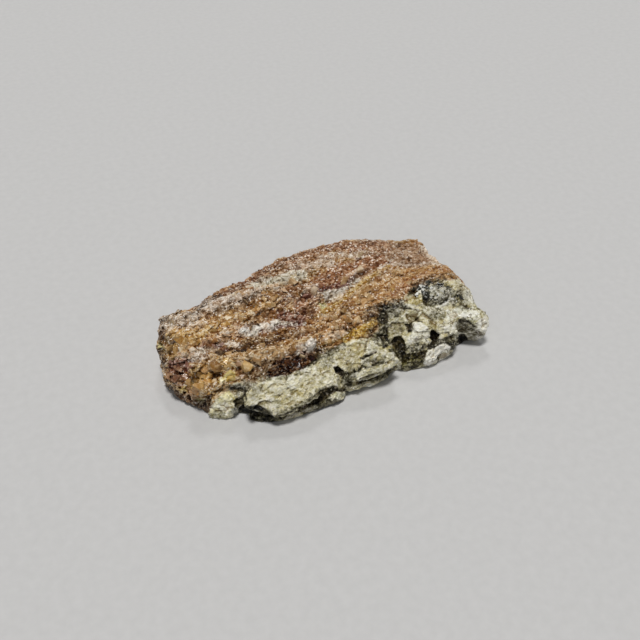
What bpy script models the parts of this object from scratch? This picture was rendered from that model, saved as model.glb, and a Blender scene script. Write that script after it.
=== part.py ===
"""Hokkaidoite slice: one flat piece of banded rock, broken all round and sawn flat underneath.

The top is a layered, rust-coloured crystalline crust with low ridges that run along the piece.
The near side is pale rock, broken into blocks with a lip, a recess under it and two clefts.
One solid, 1 node. Metres, +Z up, +X along the piece, pale side towards -Y, origin at the centre
of the sawn face.
"""

import bmesh
import bpy
import numpy as np
from mathutils import Vector, noise

# Driving dimension. The shape tables below are in units of UNIT: millimetres at this length.
LENGTH = 0.0444
TABLE_LENGTH = 44.4
UNIT = LENGTH / TABLE_LENGTH

SLAB_TOP = 8.0  # height of the plain slab that the relief is pressed into
SLAB_FOOT = -0.7  # the slab starts below the saw cut, and the cut at 0 trims it
CORE_VOXEL = 0.40
FUSED_VOXEL = 0.28
TRIANGLES = 9300

# The broken edge, anticlockwise from the near left corner: x, y, height of the shoulder where the
# side turns into the top, rise of the top per unit inwards, and how far the foot is cut back.
EDGE = (
    (-19.4, -6.7, 1.4, 1.35, 0.2),
    (-17.2, -7.8, 1.6, 1.40, 0.3),
    (-14.8, -8.9, 2.2, 1.35, 0.3),
    (-12.6, -10.9, 2.1, 1.20, 0.3),
    (-9.0, -11.4, 2.2, 1.15, 0.3),
    (-6.0, -11.3, 2.2, 1.15, 0.3),
    (-2.3, -10.9, 2.2, 1.20, 0.3),
    (1.8, -10.9, 2.3, 1.25, 0.3),
    (5.4, -10.6, 2.3, 1.30, 0.3),
    (7.7, -10.1, 1.6, 1.30, 0.2),
    (11.0, -10.0, 1.4, 1.30, 0.2),
    (15.9, -9.7, 1.6, 1.30, 0.2),
    (19.4, -9.4, 2.2, 1.40, 0.2),
    (20.7, -8.4, 3.6, 1.20, 0.3),
    (21.4, -6.0, 5.5, 0.70, 0.5),
    (21.2, -2.7, 6.3, 0.60, 0.6),
    (20.6, 2.6, 7.1, 0.60, 0.4),
    (18.9, 7.3, 7.7, 0.60, 0.3),
    (14.9, 8.7, 7.8, 0.60, 0.3),
    (8.5, 11.4, 7.9, 0.60, 0.3),
    (2.1, 12.0, 7.9, 0.60, 0.4),
    (-3.1, 11.0, 7.7, 0.60, 0.4),
    (-7.8, 9.1, 7.5, 0.60, 0.3),
    (-12.7, 8.0, 7.3, 0.60, 0.3),
    (-16.2, 7.0, 6.8, 0.60, 0.3),
    (-18.9, 7.4, 6.6, 0.60, 0.3),
    (-21.5, 6.2, 6.2, 0.60, 0.3),
    (-22.3, 3.4, 4.9, 1.00, 0.3),
    (-23.0, 0.2, 3.2, 1.40, 0.2),
    (-22.8, -2.1, 2.2, 1.40, 0.1),
    (-20.9, -4.0, 1.4, 1.35, 0.1),
)

# Relief of the top, as lines across it: the line, its height (a groove is negative), its half width.
TOP_LEVEL = 7.25
RIDGES = {
    "far crest": (
        ((-18.8, 4.2), (-13.6, 4.8), (-7.9, 6.0), (-1.0, 7.8), (5.4, 7.9), (11.1, 6.1), (16.5, 4.2)), 0.85, 3.4),
    "far rib": (((-21.0, 3.0), (-17.4, 4.2), (-13.6, 4.6), (-10.1, 4.2), (-7.0, 3.5)), 0.30, 0.8),
    "white rib": (((-16.4, 1.3), (-12.8, 0.9), (-8.1, 1.6), (-4.3, 2.8)), 0.30, 0.9),
    "middle rib": (((-2.9, 2.6), (-1.0, 3.4), (2.7, 3.2), (5.0, 3.1), (8.9, 4.4)), 0.40, 0.8),
    "white streak": (((-14.6, -0.5), (-12.2, -0.8), (-9.8, -1.2), (-7.4, -1.4), (-4.2, -2.4)), 0.25, 0.5),
    "trough": (
        (
            (-20.8, -1.1), (-18.0, -1.4), (-14.6, -1.8), (-8.4, -2.2), (-5.2, -2.2), (-2.9, -2.4),
            (0.0, -0.6), (2.6, 0.5), (5.6, 1.8), (8.5, 2.8), (11.4, 3.4),
        ),
        -0.80, 1.2),
    "wine hollow": (((-8.5, 0.4), (-6.4, 0.6), (-4.6, -1.0), (-3.0, -1.8)), -0.50, 0.7),
    "brown rib": (((-15.3, -2.4), (-12.4, -3.1), (-8.3, -3.8), (-5.0, -4.2), (-1.9, -4.0)), 0.35, 0.7),
    "brown groove": (((-16.5, -3.4), (-14.8, -3.9), (-11.0, -5.2), (-8.0, -5.7), (-5.5, -5.7)), -0.60, 0.6),
    "front crest": (
        ((-17.0, -4.9), (-14.0, -5.9), (-11.5, -6.8), (-8.3, -7.2), (-5.6, -7.1), (-2.6, -6.7), (1.5, -5.7)), 0.60, 1.3),
    "ochre rib": (((1.6, -6.6), (2.3, -6.7), (3.8, -6.6), (5.6, -5.6)), 0.35, 0.8),
    "right rib": (((9.5, -4.0), (11.2, -2.6), (13.4, -1.8), (15.9, -1.5), (18.4, -1.6)), 0.30, 0.7),
}

# Banks across the top: the line with the lower ground on its right, the fall, its width, its reach.
BANKS = {
    "shelf rim": (
        (
            (20.4, 0.2), (18.6, 0.9), (15.7, 1.1), (13.6, 1.8), (11.9, 2.3), (10.2, 1.9), (7.5, 1.0),
            (4.8, -0.2), (2.1, -1.8), (-0.7, -2.9), (-3.4, -3.7),
        ),
        1.0, 0.9, 6.0),
    "dark bank": (
        ((-15.6, -7.2), (-14.2, -7.9), (-12.4, -8.2), (-8.8, -8.4), (-5.2, -7.5), (-2.0, -7.0)),
        1.2, 0.9, 2.2),
}

# Blocks of the pale side, each the convex body over its corners.
PALE_BLOCKS = {
    "corner knob": (
        (-19.6, -7.1, 1.6), (-19.7, -7.2, -0.3), (-18.7, -7.1, 2.8), (-18.0, -7.3, 3.9), (-17.0, -7.7, 4.1),
        (-16.2, -8.3, 3.8), (-16.1, -8.9, 3.0), (-16.5, -9.1, 1.9), (-16.9, -8.7, -0.3), (-18.1, -8.1, -0.3),
        (-17.7, -8.5, 1.8), (-18.5, -5.5, 1.0), (-16.0, -6.5, 3.0), (-16.0, -6.5, -0.3),
    ),
    "long block, left": (
        (-15.6, -10.0, 3.6), (-14.8, -9.6, 4.4), (-13.5, -9.2, 5.1), (-12.2, -9.1, 5.4), (-10.3, -9.3, 5.6),
        (-8.8, -9.5, 5.6), (-15.8, -10.3, 2.9), (-15.0, -10.6, 2.6), (-13.6, -11.2, 2.5), (-12.9, -12.3, 1.9),
        (-12.0, -12.9, 1.7), (-10.7, -13.1, 2.0), (-9.5, -13.0, 2.3), (-14.5, -7.5, 2.5), (-14.5, -7.5, 4.0),
        (-8.8, -7.5, 5.2), (-8.8, -7.5, 2.0), (-12.4, -11.5, 1.2), (-9.6, -12.0, 1.3),
    ),
    "long block, right": (
        (-10.0, -9.8, 5.6), (-7.3, -9.0, 5.9), (-5.6, -8.4, 6.0), (-4.4, -8.1, 6.0), (-3.0, -8.3, 5.8),
        (-10.0, -12.9, 2.4), (-7.7, -12.9, 2.7), (-6.1, -12.5, 2.9), (-4.2, -12.2, 2.8), (-3.0, -11.9, 2.8),
        (-2.6, -11.2, 3.4), (-2.7, -9.6, 5.2), (-10.0, -7.0, 5.0), (-3.0, -6.5, 5.2), (-10.0, -8.0, 1.5),
        (-3.0, -8.0, 1.5), (-8.0, -11.9, 1.7), (-4.0, -11.3, 1.7),
    ),
    "long block's brow": (
        (-12.0, -9.6, 5.5), (-8.0, -9.8, 5.6), (-11.5, -10.9, 4.5), (-8.6, -11.1, 4.7), (-12.4, -10.2, 4.9),
        (-7.2, -10.3, 5.2), (-10.0, -9.0, 3.5), (-9.0, -11.0, 3.4),
    ),
    "foot": (
        (-15.2, -9.7, 1.0), (-14.3, -10.6, 0.6), (-13.0, -11.6, 0.5), (-11.2, -12.2, 0.6), (-8.9, -12.5, 1.0),
        (-6.1, -12.5, 1.2), (-3.1, -12.3, 1.1), (-2.1, -12.0, 0.8), (-14.9, -9.8, -0.3), (-13.0, -11.3, -0.3),
        (-9.0, -12.2, -0.3), (-3.0, -12.0, -0.3), (-2.2, -11.5, -0.3), (-13.5, -8.0, -0.3), (-2.2, -8.0, -0.3),
        (-13.5, -8.5, 1.6), (-2.2, -9.0, 1.8),
    ),
    "chip under the cleft": (
        (-5.2, -12.3, 1.9), (-3.2, -12.4, 2.0), (-2.4, -12.2, 1.6), (-2.3, -12.2, 0.9), (-4.8, -12.5, 1.1),
        (-5.0, -10.5, 1.0), (-2.4, -10.5, 1.0), (-2.6, -10.5, 2.2),
    ),
    "nose block": (
        (-2.0, -8.6, 5.8), (-0.5, -8.2, 6.1), (1.5, -8.0, 6.3), (3.2, -8.8, 6.1), (4.0, -9.9, 5.5),
        (5.0, -11.1, 4.7), (5.5, -11.8, 4.1), (-2.3, -10.5, 4.3), (-1.3, -11.5, 3.3), (-1.2, -12.0, 2.6),
        (0.5, -12.3, 2.6), (1.9, -12.5, 2.6), (3.3, -12.5, 2.9), (4.9, -12.1, 3.1), (5.6, -11.9, 3.6),
        (-2.0, -7.0, 3.0), (5.8, -8.5, 5.3), (5.8, -8.5, 2.0), (-2.0, -7.0, 5.2), (6.0, -7.0, 5.6),
        (0.0, -11.0, 1.6), (4.5, -11.0, 2.0),
    ),
    "nose block's step": (
        (-0.2, -10.4, 4.9), (1.6, -10.2, 5.2), (3.4, -10.9, 4.9), (4.4, -11.8, 4.1), (3.0, -11.9, 3.9),
        (0.4, -11.5, 3.9), (0.0, -9.5, 3.5), (4.2, -10.0, 3.5), (2.0, -11.5, 3.2),
    ),
    "nose block's foot": (
        (-1.8, -11.9, 0.9), (0.2, -12.3, 1.3), (1.5, -12.6, 1.5), (2.2, -12.2, 1.2), (5.0, -11.2, 1.0),
        (-1.8, -11.3, -0.3), (2.0, -11.5, -0.3), (5.2, -10.8, -0.3), (-1.8, -8.0, -0.3), (6.0, -8.0, -0.3),
        (6.0, -8.5, 1.8), (-1.8, -9.0, 1.8),
    ),
    "bulge": (
        (7.4, -4.9, 6.3), (9.0, -5.0, 6.5), (10.3, -5.6, 6.5), (11.8, -6.5, 6.3), (13.0, -7.4, 5.9),
        (14.2, -8.2, 5.5), (15.9, -8.4, 5.5), (16.4, -9.4, 5.0), (8.2, -8.6, 4.2), (7.9, -9.6, 3.1),
        (12.0, -10.4, 3.3), (14.2, -10.4, 3.7), (15.9, -10.7, 3.3), (7.4, -10.0, 1.8), (7.3, -10.9, 0.8),
        (9.0, -11.3, 0.8), (10.6, -11.3, 0.9), (7.6, -10.7, -0.3), (10.5, -10.9, -0.3), (15.0, -10.3, -0.3),
        (7.0, -3.5, 6.0), (16.5, -4.0, 6.0), (7.0, -4.0, 0.0), (16.5, -5.0, 0.0), (15.9, -10.6, 1.2),
    ),
    "bulge's brow": (
        (9.6, -6.2, 6.4), (12.6, -7.9, 5.9), (12.9, -9.3, 4.9), (10.9, -9.9, 4.1), (8.9, -9.2, 4.1),
        (9.0, -7.6, 5.4), (10.5, -8.0, 3.0), (11.4, -8.3, 5.7),
    ),
    "white ledge": (
        (10.3, -11.1, 2.1), (11.4, -11.0, 2.8), (13.5, -11.1, 3.3), (14.9, -11.4, 2.7), (15.8, -11.1, 1.1),
        (14.6, -11.0, 0.7), (12.8, -11.4, 0.8), (10.6, -11.6, 0.9), (11.0, -10.0, 3.1), (15.5, -10.0, 3.1),
        (10.8, -10.9, -0.3), (15.4, -10.3, -0.3), (12.8, -11.0, -0.3), (11.0, -9.0, -0.3), (15.0, -9.0, -0.3),
    ),
    "end block": (
        (17.1, -7.5, 6.3), (18.7, -7.8, 6.0), (20.2, -7.5, 5.8), (20.2, -8.6, 5.3), (20.4, -9.5, 4.9),
        (21.3, -10.1, 4.4), (21.2, -10.8, 3.5), (20.5, -11.1, 2.1), (19.6, -10.6, 1.1), (19.8, -11.3, 3.0),
        (18.8, -10.2, 4.5), (17.0, -9.5, 5.1), (17.0, -5.0, 5.8), (20.8, -5.5, 5.0), (20.7, -6.0, 1.0),
        (20.3, -8.8, -0.3), (17.5, -8.8, -0.3), (17.0, -8.8, 1.6),
    ),
    "end lump": (
        (19.4, -5.6, 6.2), (20.6, -5.6, 5.9), (20.5, -3.9, 6.2), (21.2, -4.8, 5.1), (21.1, -6.4, 4.8),
        (19.6, -3.6, 6.4), (19.5, -6.6, 5.8), (20.8, -7.0, 4.6), (19.5, -5.5, 4.0), (20.5, -3.8, 4.6),
    ),
    "crystal patch": (
        (14.2, -3.8, 6.9), (16.6, -3.6, 6.9), (17.9, -4.9, 6.6), (17.4, -6.3, 6.2), (15.4, -6.9, 6.1),
        (13.6, -5.9, 6.4), (15.5, -5.0, 4.5),
    ),
}

# Pieces broken out of the pale side, given the same way.
HOLLOWS = {
    "cleft": (
        (-2.6, -10.3, 5.4), (-2.0, -10.2, 5.2), (-1.8, -11.6, 4.1), (-1.2, -12.6, 3.6), (-1.3, -12.6, 2.2),
        (-2.6, -12.6, 2.9), (-2.4, -9.8, 3.6), (-1.4, -11.0, 2.2),
    ),
    "deep cleft": (
        (5.7, -8.2, 6.6), (7.3, -7.6, 6.6), (5.9, -12.4, 4.8), (7.5, -9.8, 4.2), (6.1, -12.4, 1.0),
        (7.4, -12.4, 0.9), (6.0, -8.8, 1.4), (7.2, -8.4, 1.4),
    ),
    "cave": (
        (-16.2, -11.6, 0.9), (-15.6, -11.2, 2.3), (-14.3, -11.6, 2.3), (-13.4, -12.6, 1.7), (-13.2, -12.8, 0.9),
        (-15.4, -9.9, 1.0), (-14.2, -10.0, 2.0), (-13.2, -10.6, 1.2),
    ),
}

# Angular pits: centre and size.
PITS = {
    "bulge, left": ((7.8, -9.1, 3.9), (1.5, 1.8, 2.2)),
    "bulge, upper": ((9.3, -8.3, 5.5), (1.1, 1.3, 1.3)),
    "bulge, three-cornered": ((12.8, -10.4, 4.0), (1.6, 2.2, 2.2)),
    "end block, black": ((17.4, -10.3, 1.9), (1.8, 2.2, 1.9)),
    "end block, wedge": ((18.3, -11.0, 3.4), (2.4, 1.4, 2.2)),
    "beside the corner knob": ((-15.8, -9.0, 2.4), (0.9, 1.8, 2.6)),
    "front crest, fissure": ((-12.8, -6.7, 6.9), (0.6, 2.2, 1.6)),
    "under the brown crystal": ((-17.6, -5.4, 5.0), (1.6, 1.2, 1.1)),
    "trough, left": ((-10.4, -0.5, 7.1), (1.7, 0.8, 1.2)),
    "trough, middle": ((1.4, -6.5, 7.3), (1.6, 0.8, 1.2)),
    "nose block, split": ((2.2, -11.0, 4.9), (2.6, 0.6, 0.9)),
}

# Knobs of the crust at the left end, and crystals set in it: centre and size.
CRUST_KNOBS = {
    "left corner": ((-21.3, 4.6, 3.9), (2.1, 2.8, 3.2)),
    "left end, low": ((-22.0, -0.9, 1.9), (1.9, 2.4, 2.0)),
    "near foot": ((-19.9, -4.4, 1.6), (2.2, 2.2, 2.2)),
    "near foot, second": ((-21.4, -2.2, 1.7), (1.8, 2.0, 2.0)),
    "tan boss": ((-19.1, -5.4, 3.5), (3.0, 2.4, 2.6)),
    "yellow bead": ((-17.6, -6.4, 4.4), (1.3, 1.1, 1.2)),
    "brown crystal": ((-17.0, -4.4, 5.6), (1.9, 1.6, 1.6)),
    "white crystal": ((-4.6, -6.9, 7.5), (1.4, 1.3, 1.2)),
    "white end crystal": ((-19.6, -3.2, 5.6), (2.2, 1.5, 1.5)),
}


def smooth_step(x):
    x = np.clip(x, 0.0, 1.0)
    return x * x * (3.0 - 2.0 * x)


def nearest_on_line(points, line, closed=False):
    """For each point of the plan: its distance to the line, the share of the way along it as a
    segment index plus a fraction, and which side it lies on, +1 left and -1 right."""
    corners = np.array([corner[:2] for corner in line], float)
    if closed:
        corners = np.vstack([corners, corners[:1]])
    best = np.full(len(points), np.inf)
    place = np.zeros(len(points))
    side = np.ones(len(points))
    for index, (start, end) in enumerate(zip(corners[:-1], corners[1:])):
        along = end - start
        share = np.clip((points - start) @ along / (along @ along), 0.0, 1.0)
        offset = points - (start + share[:, None] * along)
        distance = np.hypot(offset[:, 0], offset[:, 1])
        cross = along[0] * offset[:, 1] - along[1] * offset[:, 0]
        nearer = distance < best
        best = np.where(nearer, distance, best)
        place = np.where(nearer, index + share, place)
        side = np.where(nearer & (np.abs(cross) > 1e-9), np.sign(cross), side)
    return best, place, side


def crest(points, line, height, width):
    """A rounded ridge along a line, or a trough where the height is negative."""
    distance, _, _ = nearest_on_line(points, line)
    return height * np.exp(-((distance / width) ** 2))


def bank(points, line, fall, width, reach):
    """A bank along a line: the ground on its right is lower, out to reach."""
    distance, _, side = nearest_on_line(points, line)
    signed = distance * side
    share = smooth_step(0.5 - signed / width)
    return -fall * share * np.exp(-((distance / reach) ** 4))


def top_height(points, distance_in, shoulder, rise):
    """Height of the top over the plan, eased down to the shoulder near the broken edge."""
    top = np.full(len(points), TOP_LEVEL)
    for line, height, width in RIDGES.values():
        top += crest(points, line, height, width)
    for line, fall, width, reach in BANKS.values():
        top += bank(points, line, fall, width, reach)
    slope = shoulder + rise * distance_in
    softness = 0.35
    blend = np.clip(0.5 + 0.5 * (slope - top) / softness, 0.0, 1.0)
    return slope * (1 - blend) + top * blend - softness * blend * (1 - blend)


def evaluated_mesh(obj):
    """A new mesh of the object as its modifiers leave it, in world space. The object is removed."""
    graph = bpy.context.evaluated_depsgraph_get()
    mesh = bpy.data.meshes.new_from_object(obj.evaluated_get(graph))
    mesh.transform(obj.matrix_world)
    bpy.data.objects.remove(obj)
    return mesh


def remeshed(mesh, voxel):
    """The mesh rebuilt as one closed skin of even quads, in table units."""
    obj = bpy.data.objects.new("remesh", mesh)
    bpy.context.scene.collection.objects.link(obj)
    modifier = obj.modifiers.new("Even skin", "REMESH")
    modifier.mode = "VOXEL"
    modifier.voxel_size = voxel
    bpy.context.view_layer.update()
    return evaluated_mesh(obj)


def points_of(mesh):
    found = np.empty(len(mesh.vertices) * 3, np.float32)
    mesh.vertices.foreach_get("co", found)
    return found.reshape(-1, 3).astype(float)


def set_points(mesh, points):
    mesh.vertices.foreach_set("co", points.astype(np.float32).ravel())
    mesh.update()


def plain_slab():
    """The plan outline extruded to a slab with upright sides."""
    outline = bpy.data.curves.new("outline", "CURVE")
    outline.dimensions = "2D"
    outline.fill_mode = "BOTH"
    outline.extrude = (SLAB_TOP - SLAB_FOOT) / 2
    spline = outline.splines.new("POLY")
    spline.points.add(len(EDGE) - 1)
    for point, (x, y, *_) in zip(spline.points, EDGE):
        point.co = (x, y, 0.0, 1.0)
    spline.use_cyclic_u = True
    slab = bpy.data.objects.new("slab", outline)
    slab.location.z = (SLAB_TOP + SLAB_FOOT) / 2
    bpy.context.scene.collection.objects.link(slab)
    bpy.context.view_layer.update()
    mesh = evaluated_mesh(slab)
    welded = bmesh.new()
    welded.from_mesh(mesh)
    bmesh.ops.remove_doubles(welded, verts=welded.verts, dist=0.001)
    welded.to_mesh(mesh)
    welded.free()
    return mesh


def core():
    """The slab with the top relief pressed in and its sides cut back towards the foot."""
    mesh = remeshed(plain_slab(), CORE_VOXEL)
    points = points_of(mesh)
    plan = points[:, :2]
    distance, place, _ = nearest_on_line(plan, EDGE, closed=True)
    table = np.array(EDGE + EDGE[:1], float)
    stations = np.arange(len(table))
    shoulder, rise, undercut = (np.interp(place, stations, table[:, k]) for k in (2, 3, 4))
    top = top_height(plan, distance, shoulder, rise)
    height = np.clip(points[:, 2] / SLAB_TOP, 0.0, 1.0)
    centre = plan.mean(axis=0)
    inwards = centre - plan
    inwards /= np.maximum(np.hypot(inwards[:, 0], inwards[:, 1]), 1e-6)[:, None]
    cut_back = undercut * (1.0 - height) ** 1.5 * np.exp(-distance / 2.0)
    points[:, :2] += inwards * cut_back[:, None]
    points[:, 2] = np.where(points[:, 2] > 0.0, height * top, points[:, 2])
    set_points(mesh, points)
    return mesh


def block(corners):
    """The convex body over the corners, with flat faces."""
    shape = bmesh.new()
    for corner in corners:
        shape.verts.new(corner)
    hull = bmesh.ops.convex_hull(shape, input=shape.verts)
    spare = {part for key in ("geom_interior", "geom_unused") for part in hull[key]}
    bmesh.ops.delete(shape, geom=[part for part in spare if isinstance(part, bmesh.types.BMVert)], context="VERTS")
    bmesh.ops.recalc_face_normals(shape, faces=shape.faces)
    return shape


def pit(centre, size):
    """A cutter with twenty flat sides."""
    shape = bmesh.new()
    bmesh.ops.create_icosphere(shape, subdivisions=1, radius=0.5)
    bmesh.ops.scale(shape, vec=size, verts=shape.verts)
    bmesh.ops.translate(shape, vec=centre, verts=shape.verts)
    return shape


def as_mesh(shape):
    """The bmesh as a mesh."""
    mesh = bpy.data.meshes.new("piece")
    shape.to_mesh(mesh)
    shape.free()
    return mesh


def knob(centre, size):
    """A rounded knob."""
    shape = bmesh.new()
    bmesh.ops.create_icosphere(shape, subdivisions=2, radius=0.5)
    bmesh.ops.scale(shape, vec=size, verts=shape.verts)
    bmesh.ops.translate(shape, vec=centre, verts=shape.verts)
    return shape


def joined(meshes):
    """Several closed meshes in one, still overlapping."""
    whole = bmesh.new()
    for mesh in meshes:
        whole.from_mesh(mesh)
    result = bpy.data.meshes.new("joined")
    whole.to_mesh(result)
    whole.free()
    return result


def fused():
    """Core, pale blocks and crust knobs grown into one skin, with the hollows broken out."""
    pieces = [core()]
    pieces += [as_mesh(block(corners)) for corners in PALE_BLOCKS.values()]
    pieces += [as_mesh(knob(centre, size)) for centre, size in CRUST_KNOBS.values()]
    whole = bpy.data.objects.new("whole", remeshed(joined(pieces), FUSED_VOXEL))
    bpy.context.scene.collection.objects.link(whole)
    shapes = {name: block(corners) for name, corners in HOLLOWS.items()}
    shapes |= {name: pit(centre, size) for name, (centre, size) in PITS.items()}
    cutters = []
    for name, shape in shapes.items():
        cutter = bpy.data.objects.new(name, as_mesh(shape))
        bpy.context.scene.collection.objects.link(cutter)
        cutter.hide_render = True
        cutter.display_type = "WIRE"
        cutters.append(cutter)
        modifier = whole.modifiers.new(name, "BOOLEAN")
        modifier.operation = "DIFFERENCE"
        modifier.object = cutter
    bpy.context.view_layer.update()
    mesh = evaluated_mesh(whole)
    for cutter in cutters:
        bpy.data.objects.remove(cutter)
    return remeshed(mesh, FUSED_VOXEL)


def facet(point, grain, seed):
    """Height of a surface of flat, tilted facets about one grain across, from -1 to 1."""
    place = Vector(point) / grain + Vector((seed, seed * 0.7, -seed))
    _, seeds = noise.voronoi(place, distance_metric="DISTANCE", exponent=2.0)
    tilt = noise.cell_vector(seeds[0] * 7.3) * 2.0 - Vector((1.0, 1.0, 1.0))
    return tilt.dot(place - seeds[0]) + 0.5 * tilt.x


def pale_share(point):
    """1 on the pale near side, 0 on the rust-coloured top."""
    line = ((-23.0, -5.6), (-19.0, -6.7), (-15.0, -8.2), (-5.2, -7.9), (3.0, -7.6), (6.5, -5.5), (8.7, -3.5), (22.0, -2.4))
    distance, _, side = nearest_on_line(np.array([point[:2]]), line)
    return float(smooth_step(0.5 - distance[0] * side[0] / 1.2))


def roughened(mesh):
    """The skin moved along its normals into facets, banded along the piece on the top."""
    points = points_of(mesh)
    normals = np.empty(len(mesh.vertices) * 3, np.float32)
    mesh.vertices.foreach_get("normal", normals)
    normals = normals.reshape(-1, 3)
    for index, (point, normal) in enumerate(zip(points, normals)):
        if point[2] < 0.2 and normal[2] < -0.5:
            continue
        pale = pale_share(point)
        banded = (point[0] / 2.6, point[1] - 0.12 * point[0], point[2])
        crust = 0.16 * facet(banded, 1.5, 3.0) + 0.22 * noise.fractal(Vector(banded) / 1.1, 0.8, 2.0, 3)
        broken = 0.11 * facet(point, 2.2, 8.0) + 0.07 * noise.fractal(Vector(point) / 1.0, 0.8, 2.0, 2)
        points[index] += normal * (pale * broken + (1.0 - pale) * crust)
    set_points(mesh, points)
    return mesh


def thinned(mesh, triangles):
    """The mesh with flat stretches collapsed, down to this many triangles."""
    obj = bpy.data.objects.new("thin", mesh)
    bpy.context.scene.collection.objects.link(obj)
    present = sum(len(polygon.vertices) - 2 for polygon in mesh.polygons)
    modifier = obj.modifiers.new("Fewer faces", "DECIMATE")
    modifier.ratio = triangles / present
    modifier.use_collapse_triangulate = True
    bpy.context.view_layer.update()
    return evaluated_mesh(obj)


def sawn(mesh):
    """The mesh cut off flat at height 0, with the sawn face filled."""
    shape = bmesh.new()
    shape.from_mesh(mesh)
    cut = bmesh.ops.bisect_plane(
        shape,
        geom=shape.verts[:] + shape.edges[:] + shape.faces[:],
        plane_co=(0, 0, 0),
        plane_no=(0, 0, -1),
        clear_outer=True,
    )
    rim = [part for part in cut["geom_cut"] if isinstance(part, bmesh.types.BMEdge)]
    bmesh.ops.edgenet_fill(shape, edges=rim)
    bmesh.ops.recalc_face_normals(shape, faces=shape.faces)
    shape.to_mesh(mesh)
    shape.free()
    return mesh


def rock_material():
    material = bpy.data.materials.new("rust and cream rock")
    material.use_nodes = True
    shader = material.node_tree.nodes["Principled BSDF"]
    shader.inputs["Base Color"].default_value = (0.36, 0.21, 0.11, 1.0)
    shader.inputs["Roughness"].default_value = 0.6
    shader.inputs["Metallic"].default_value = 0.0
    return material


def centred(mesh):
    """The mesh in metres, with the middle of its box over the origin."""
    points = points_of(mesh)
    middle = (points.min(axis=0) + points.max(axis=0)) / 2
    points[:, :2] -= middle[:2]
    set_points(mesh, points * UNIT)
    print("middle was at", middle[:2])
    return mesh


def main():
    for obj in list(bpy.data.objects):
        bpy.data.objects.remove(obj)
    collection = bpy.data.collections.new("hokkaidoite slice")
    bpy.context.scene.collection.children.link(collection)
    mesh = centred(sawn(thinned(roughened(fused()), TRIANGLES)))
    rock = bpy.data.objects.new("rock_slice", mesh)
    rock.data.materials.append(rock_material())
    collection.objects.link(rock)


main()
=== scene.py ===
"""Looks of the hokkaidoite slice: crystalline rust crust on top, pale broken rock on the near side."""

import math

import bmesh
import bpy
import numpy as np
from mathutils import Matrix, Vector, noise
from mathutils.bvhtree import BVHTree


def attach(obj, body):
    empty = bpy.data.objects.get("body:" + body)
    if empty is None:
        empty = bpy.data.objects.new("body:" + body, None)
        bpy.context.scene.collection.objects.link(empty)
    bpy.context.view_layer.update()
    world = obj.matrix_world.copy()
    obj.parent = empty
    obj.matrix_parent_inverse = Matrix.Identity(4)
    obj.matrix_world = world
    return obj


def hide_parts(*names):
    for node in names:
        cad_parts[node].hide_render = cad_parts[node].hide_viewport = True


MM = 0.001
IMAGE = 640  # the photograph's frame is square
LENS = 50.0
SENSOR = 36.0
CLIP_NEAR, CLIP_FAR = 0.001, 50.0  # m
AZIMUTH = -26.0
ELEVATION = 40.0
MM_PER_PX = 0.14  # at the aim point
ROCK_MIDDLE_PX = (320, 335)
AIM = np.array([0.846, 0.438, 4.0])  # mm, seen at the middle of the frame

SKIN_VOXEL = 0.165  # mm
BASE_Z = 0.03  # mm; the skin is cut off flat here and closed
SEARCH_STEPS = 30  # pixels walked towards the rock's middle from a place just outside its outline
SIGHT_SLACK = 0.6  # mm; a point this far behind what the camera sees counts as seen
SEAM_WIDTH = 0.3  # mm over which the crust gives way to pale rock
PATCH_MARGIN = 4  # pixels round a patch where it can still show
LINE_STEP_PX = 2.0
STREAK_NOISES = 7  # streaks take their ragged edges from this many noises in turn
DARKEST = 0.002
TONE_SPREAD = 0.18  # how far single crystals differ in tone

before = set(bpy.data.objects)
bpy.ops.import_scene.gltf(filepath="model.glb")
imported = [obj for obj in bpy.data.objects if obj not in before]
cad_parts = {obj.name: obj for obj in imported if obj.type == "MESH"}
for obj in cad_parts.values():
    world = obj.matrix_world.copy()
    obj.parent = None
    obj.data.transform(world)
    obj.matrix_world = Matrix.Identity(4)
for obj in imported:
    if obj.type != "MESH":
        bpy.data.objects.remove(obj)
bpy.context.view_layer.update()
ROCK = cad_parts["rock_slice"]


# ---------------------------------------------------------------- camera
def camera_axes():
    a, e = math.radians(AZIMUTH), math.radians(ELEVATION)
    back = np.array([math.sin(a) * math.cos(e), -math.cos(a) * math.cos(e), math.sin(e)])
    right = np.cross(-back, [0.0, 0.0, 1.0])
    right /= np.linalg.norm(right)
    return right, np.cross(right, -back), back


FOCAL_PX = IMAGE * LENS / SENSOR
RIGHT, UP, BACK = camera_axes()
EYE = AIM + BACK * FOCAL_PX * MM_PER_PX


def add_object(name, data):
    obj = bpy.data.objects.new(name, data)
    bpy.context.scene.collection.objects.link(obj)
    return obj


def make_camera():
    data = bpy.data.cameras.new("camera")
    data.lens = LENS
    data.sensor_width = SENSOR
    data.clip_start = CLIP_NEAR
    data.clip_end = CLIP_FAR
    camera = add_object("camera", data)
    camera.location = Vector(EYE * MM)
    camera.rotation_euler = Vector(-BACK).to_track_quat("-Z", "Y").to_euler()
    bpy.context.scene.camera = camera


# ---------------------------------------------------------------- meshes
def vectors_of(mesh, key):
    found = np.empty(len(mesh.vertices) * 3, np.float32)
    mesh.vertices.foreach_get(key, found)
    return found.reshape(-1, 3).astype(float)


def points_of(mesh):
    return vectors_of(mesh, "co")


def set_points(mesh, points):
    mesh.vertices.foreach_set("co", points.astype(np.float32).ravel())
    mesh.update()


def modified(mesh, kind, **settings):
    """The mesh with one modifier applied."""
    obj = add_object("work", mesh)
    modifier = obj.modifiers.new("work", kind)
    for key, value in settings.items():
        setattr(modifier, key, value)
    bpy.context.view_layer.update()
    graph = bpy.context.evaluated_depsgraph_get()
    result = bpy.data.meshes.new_from_object(obj.evaluated_get(graph))
    bpy.data.objects.remove(obj)
    return result


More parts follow.
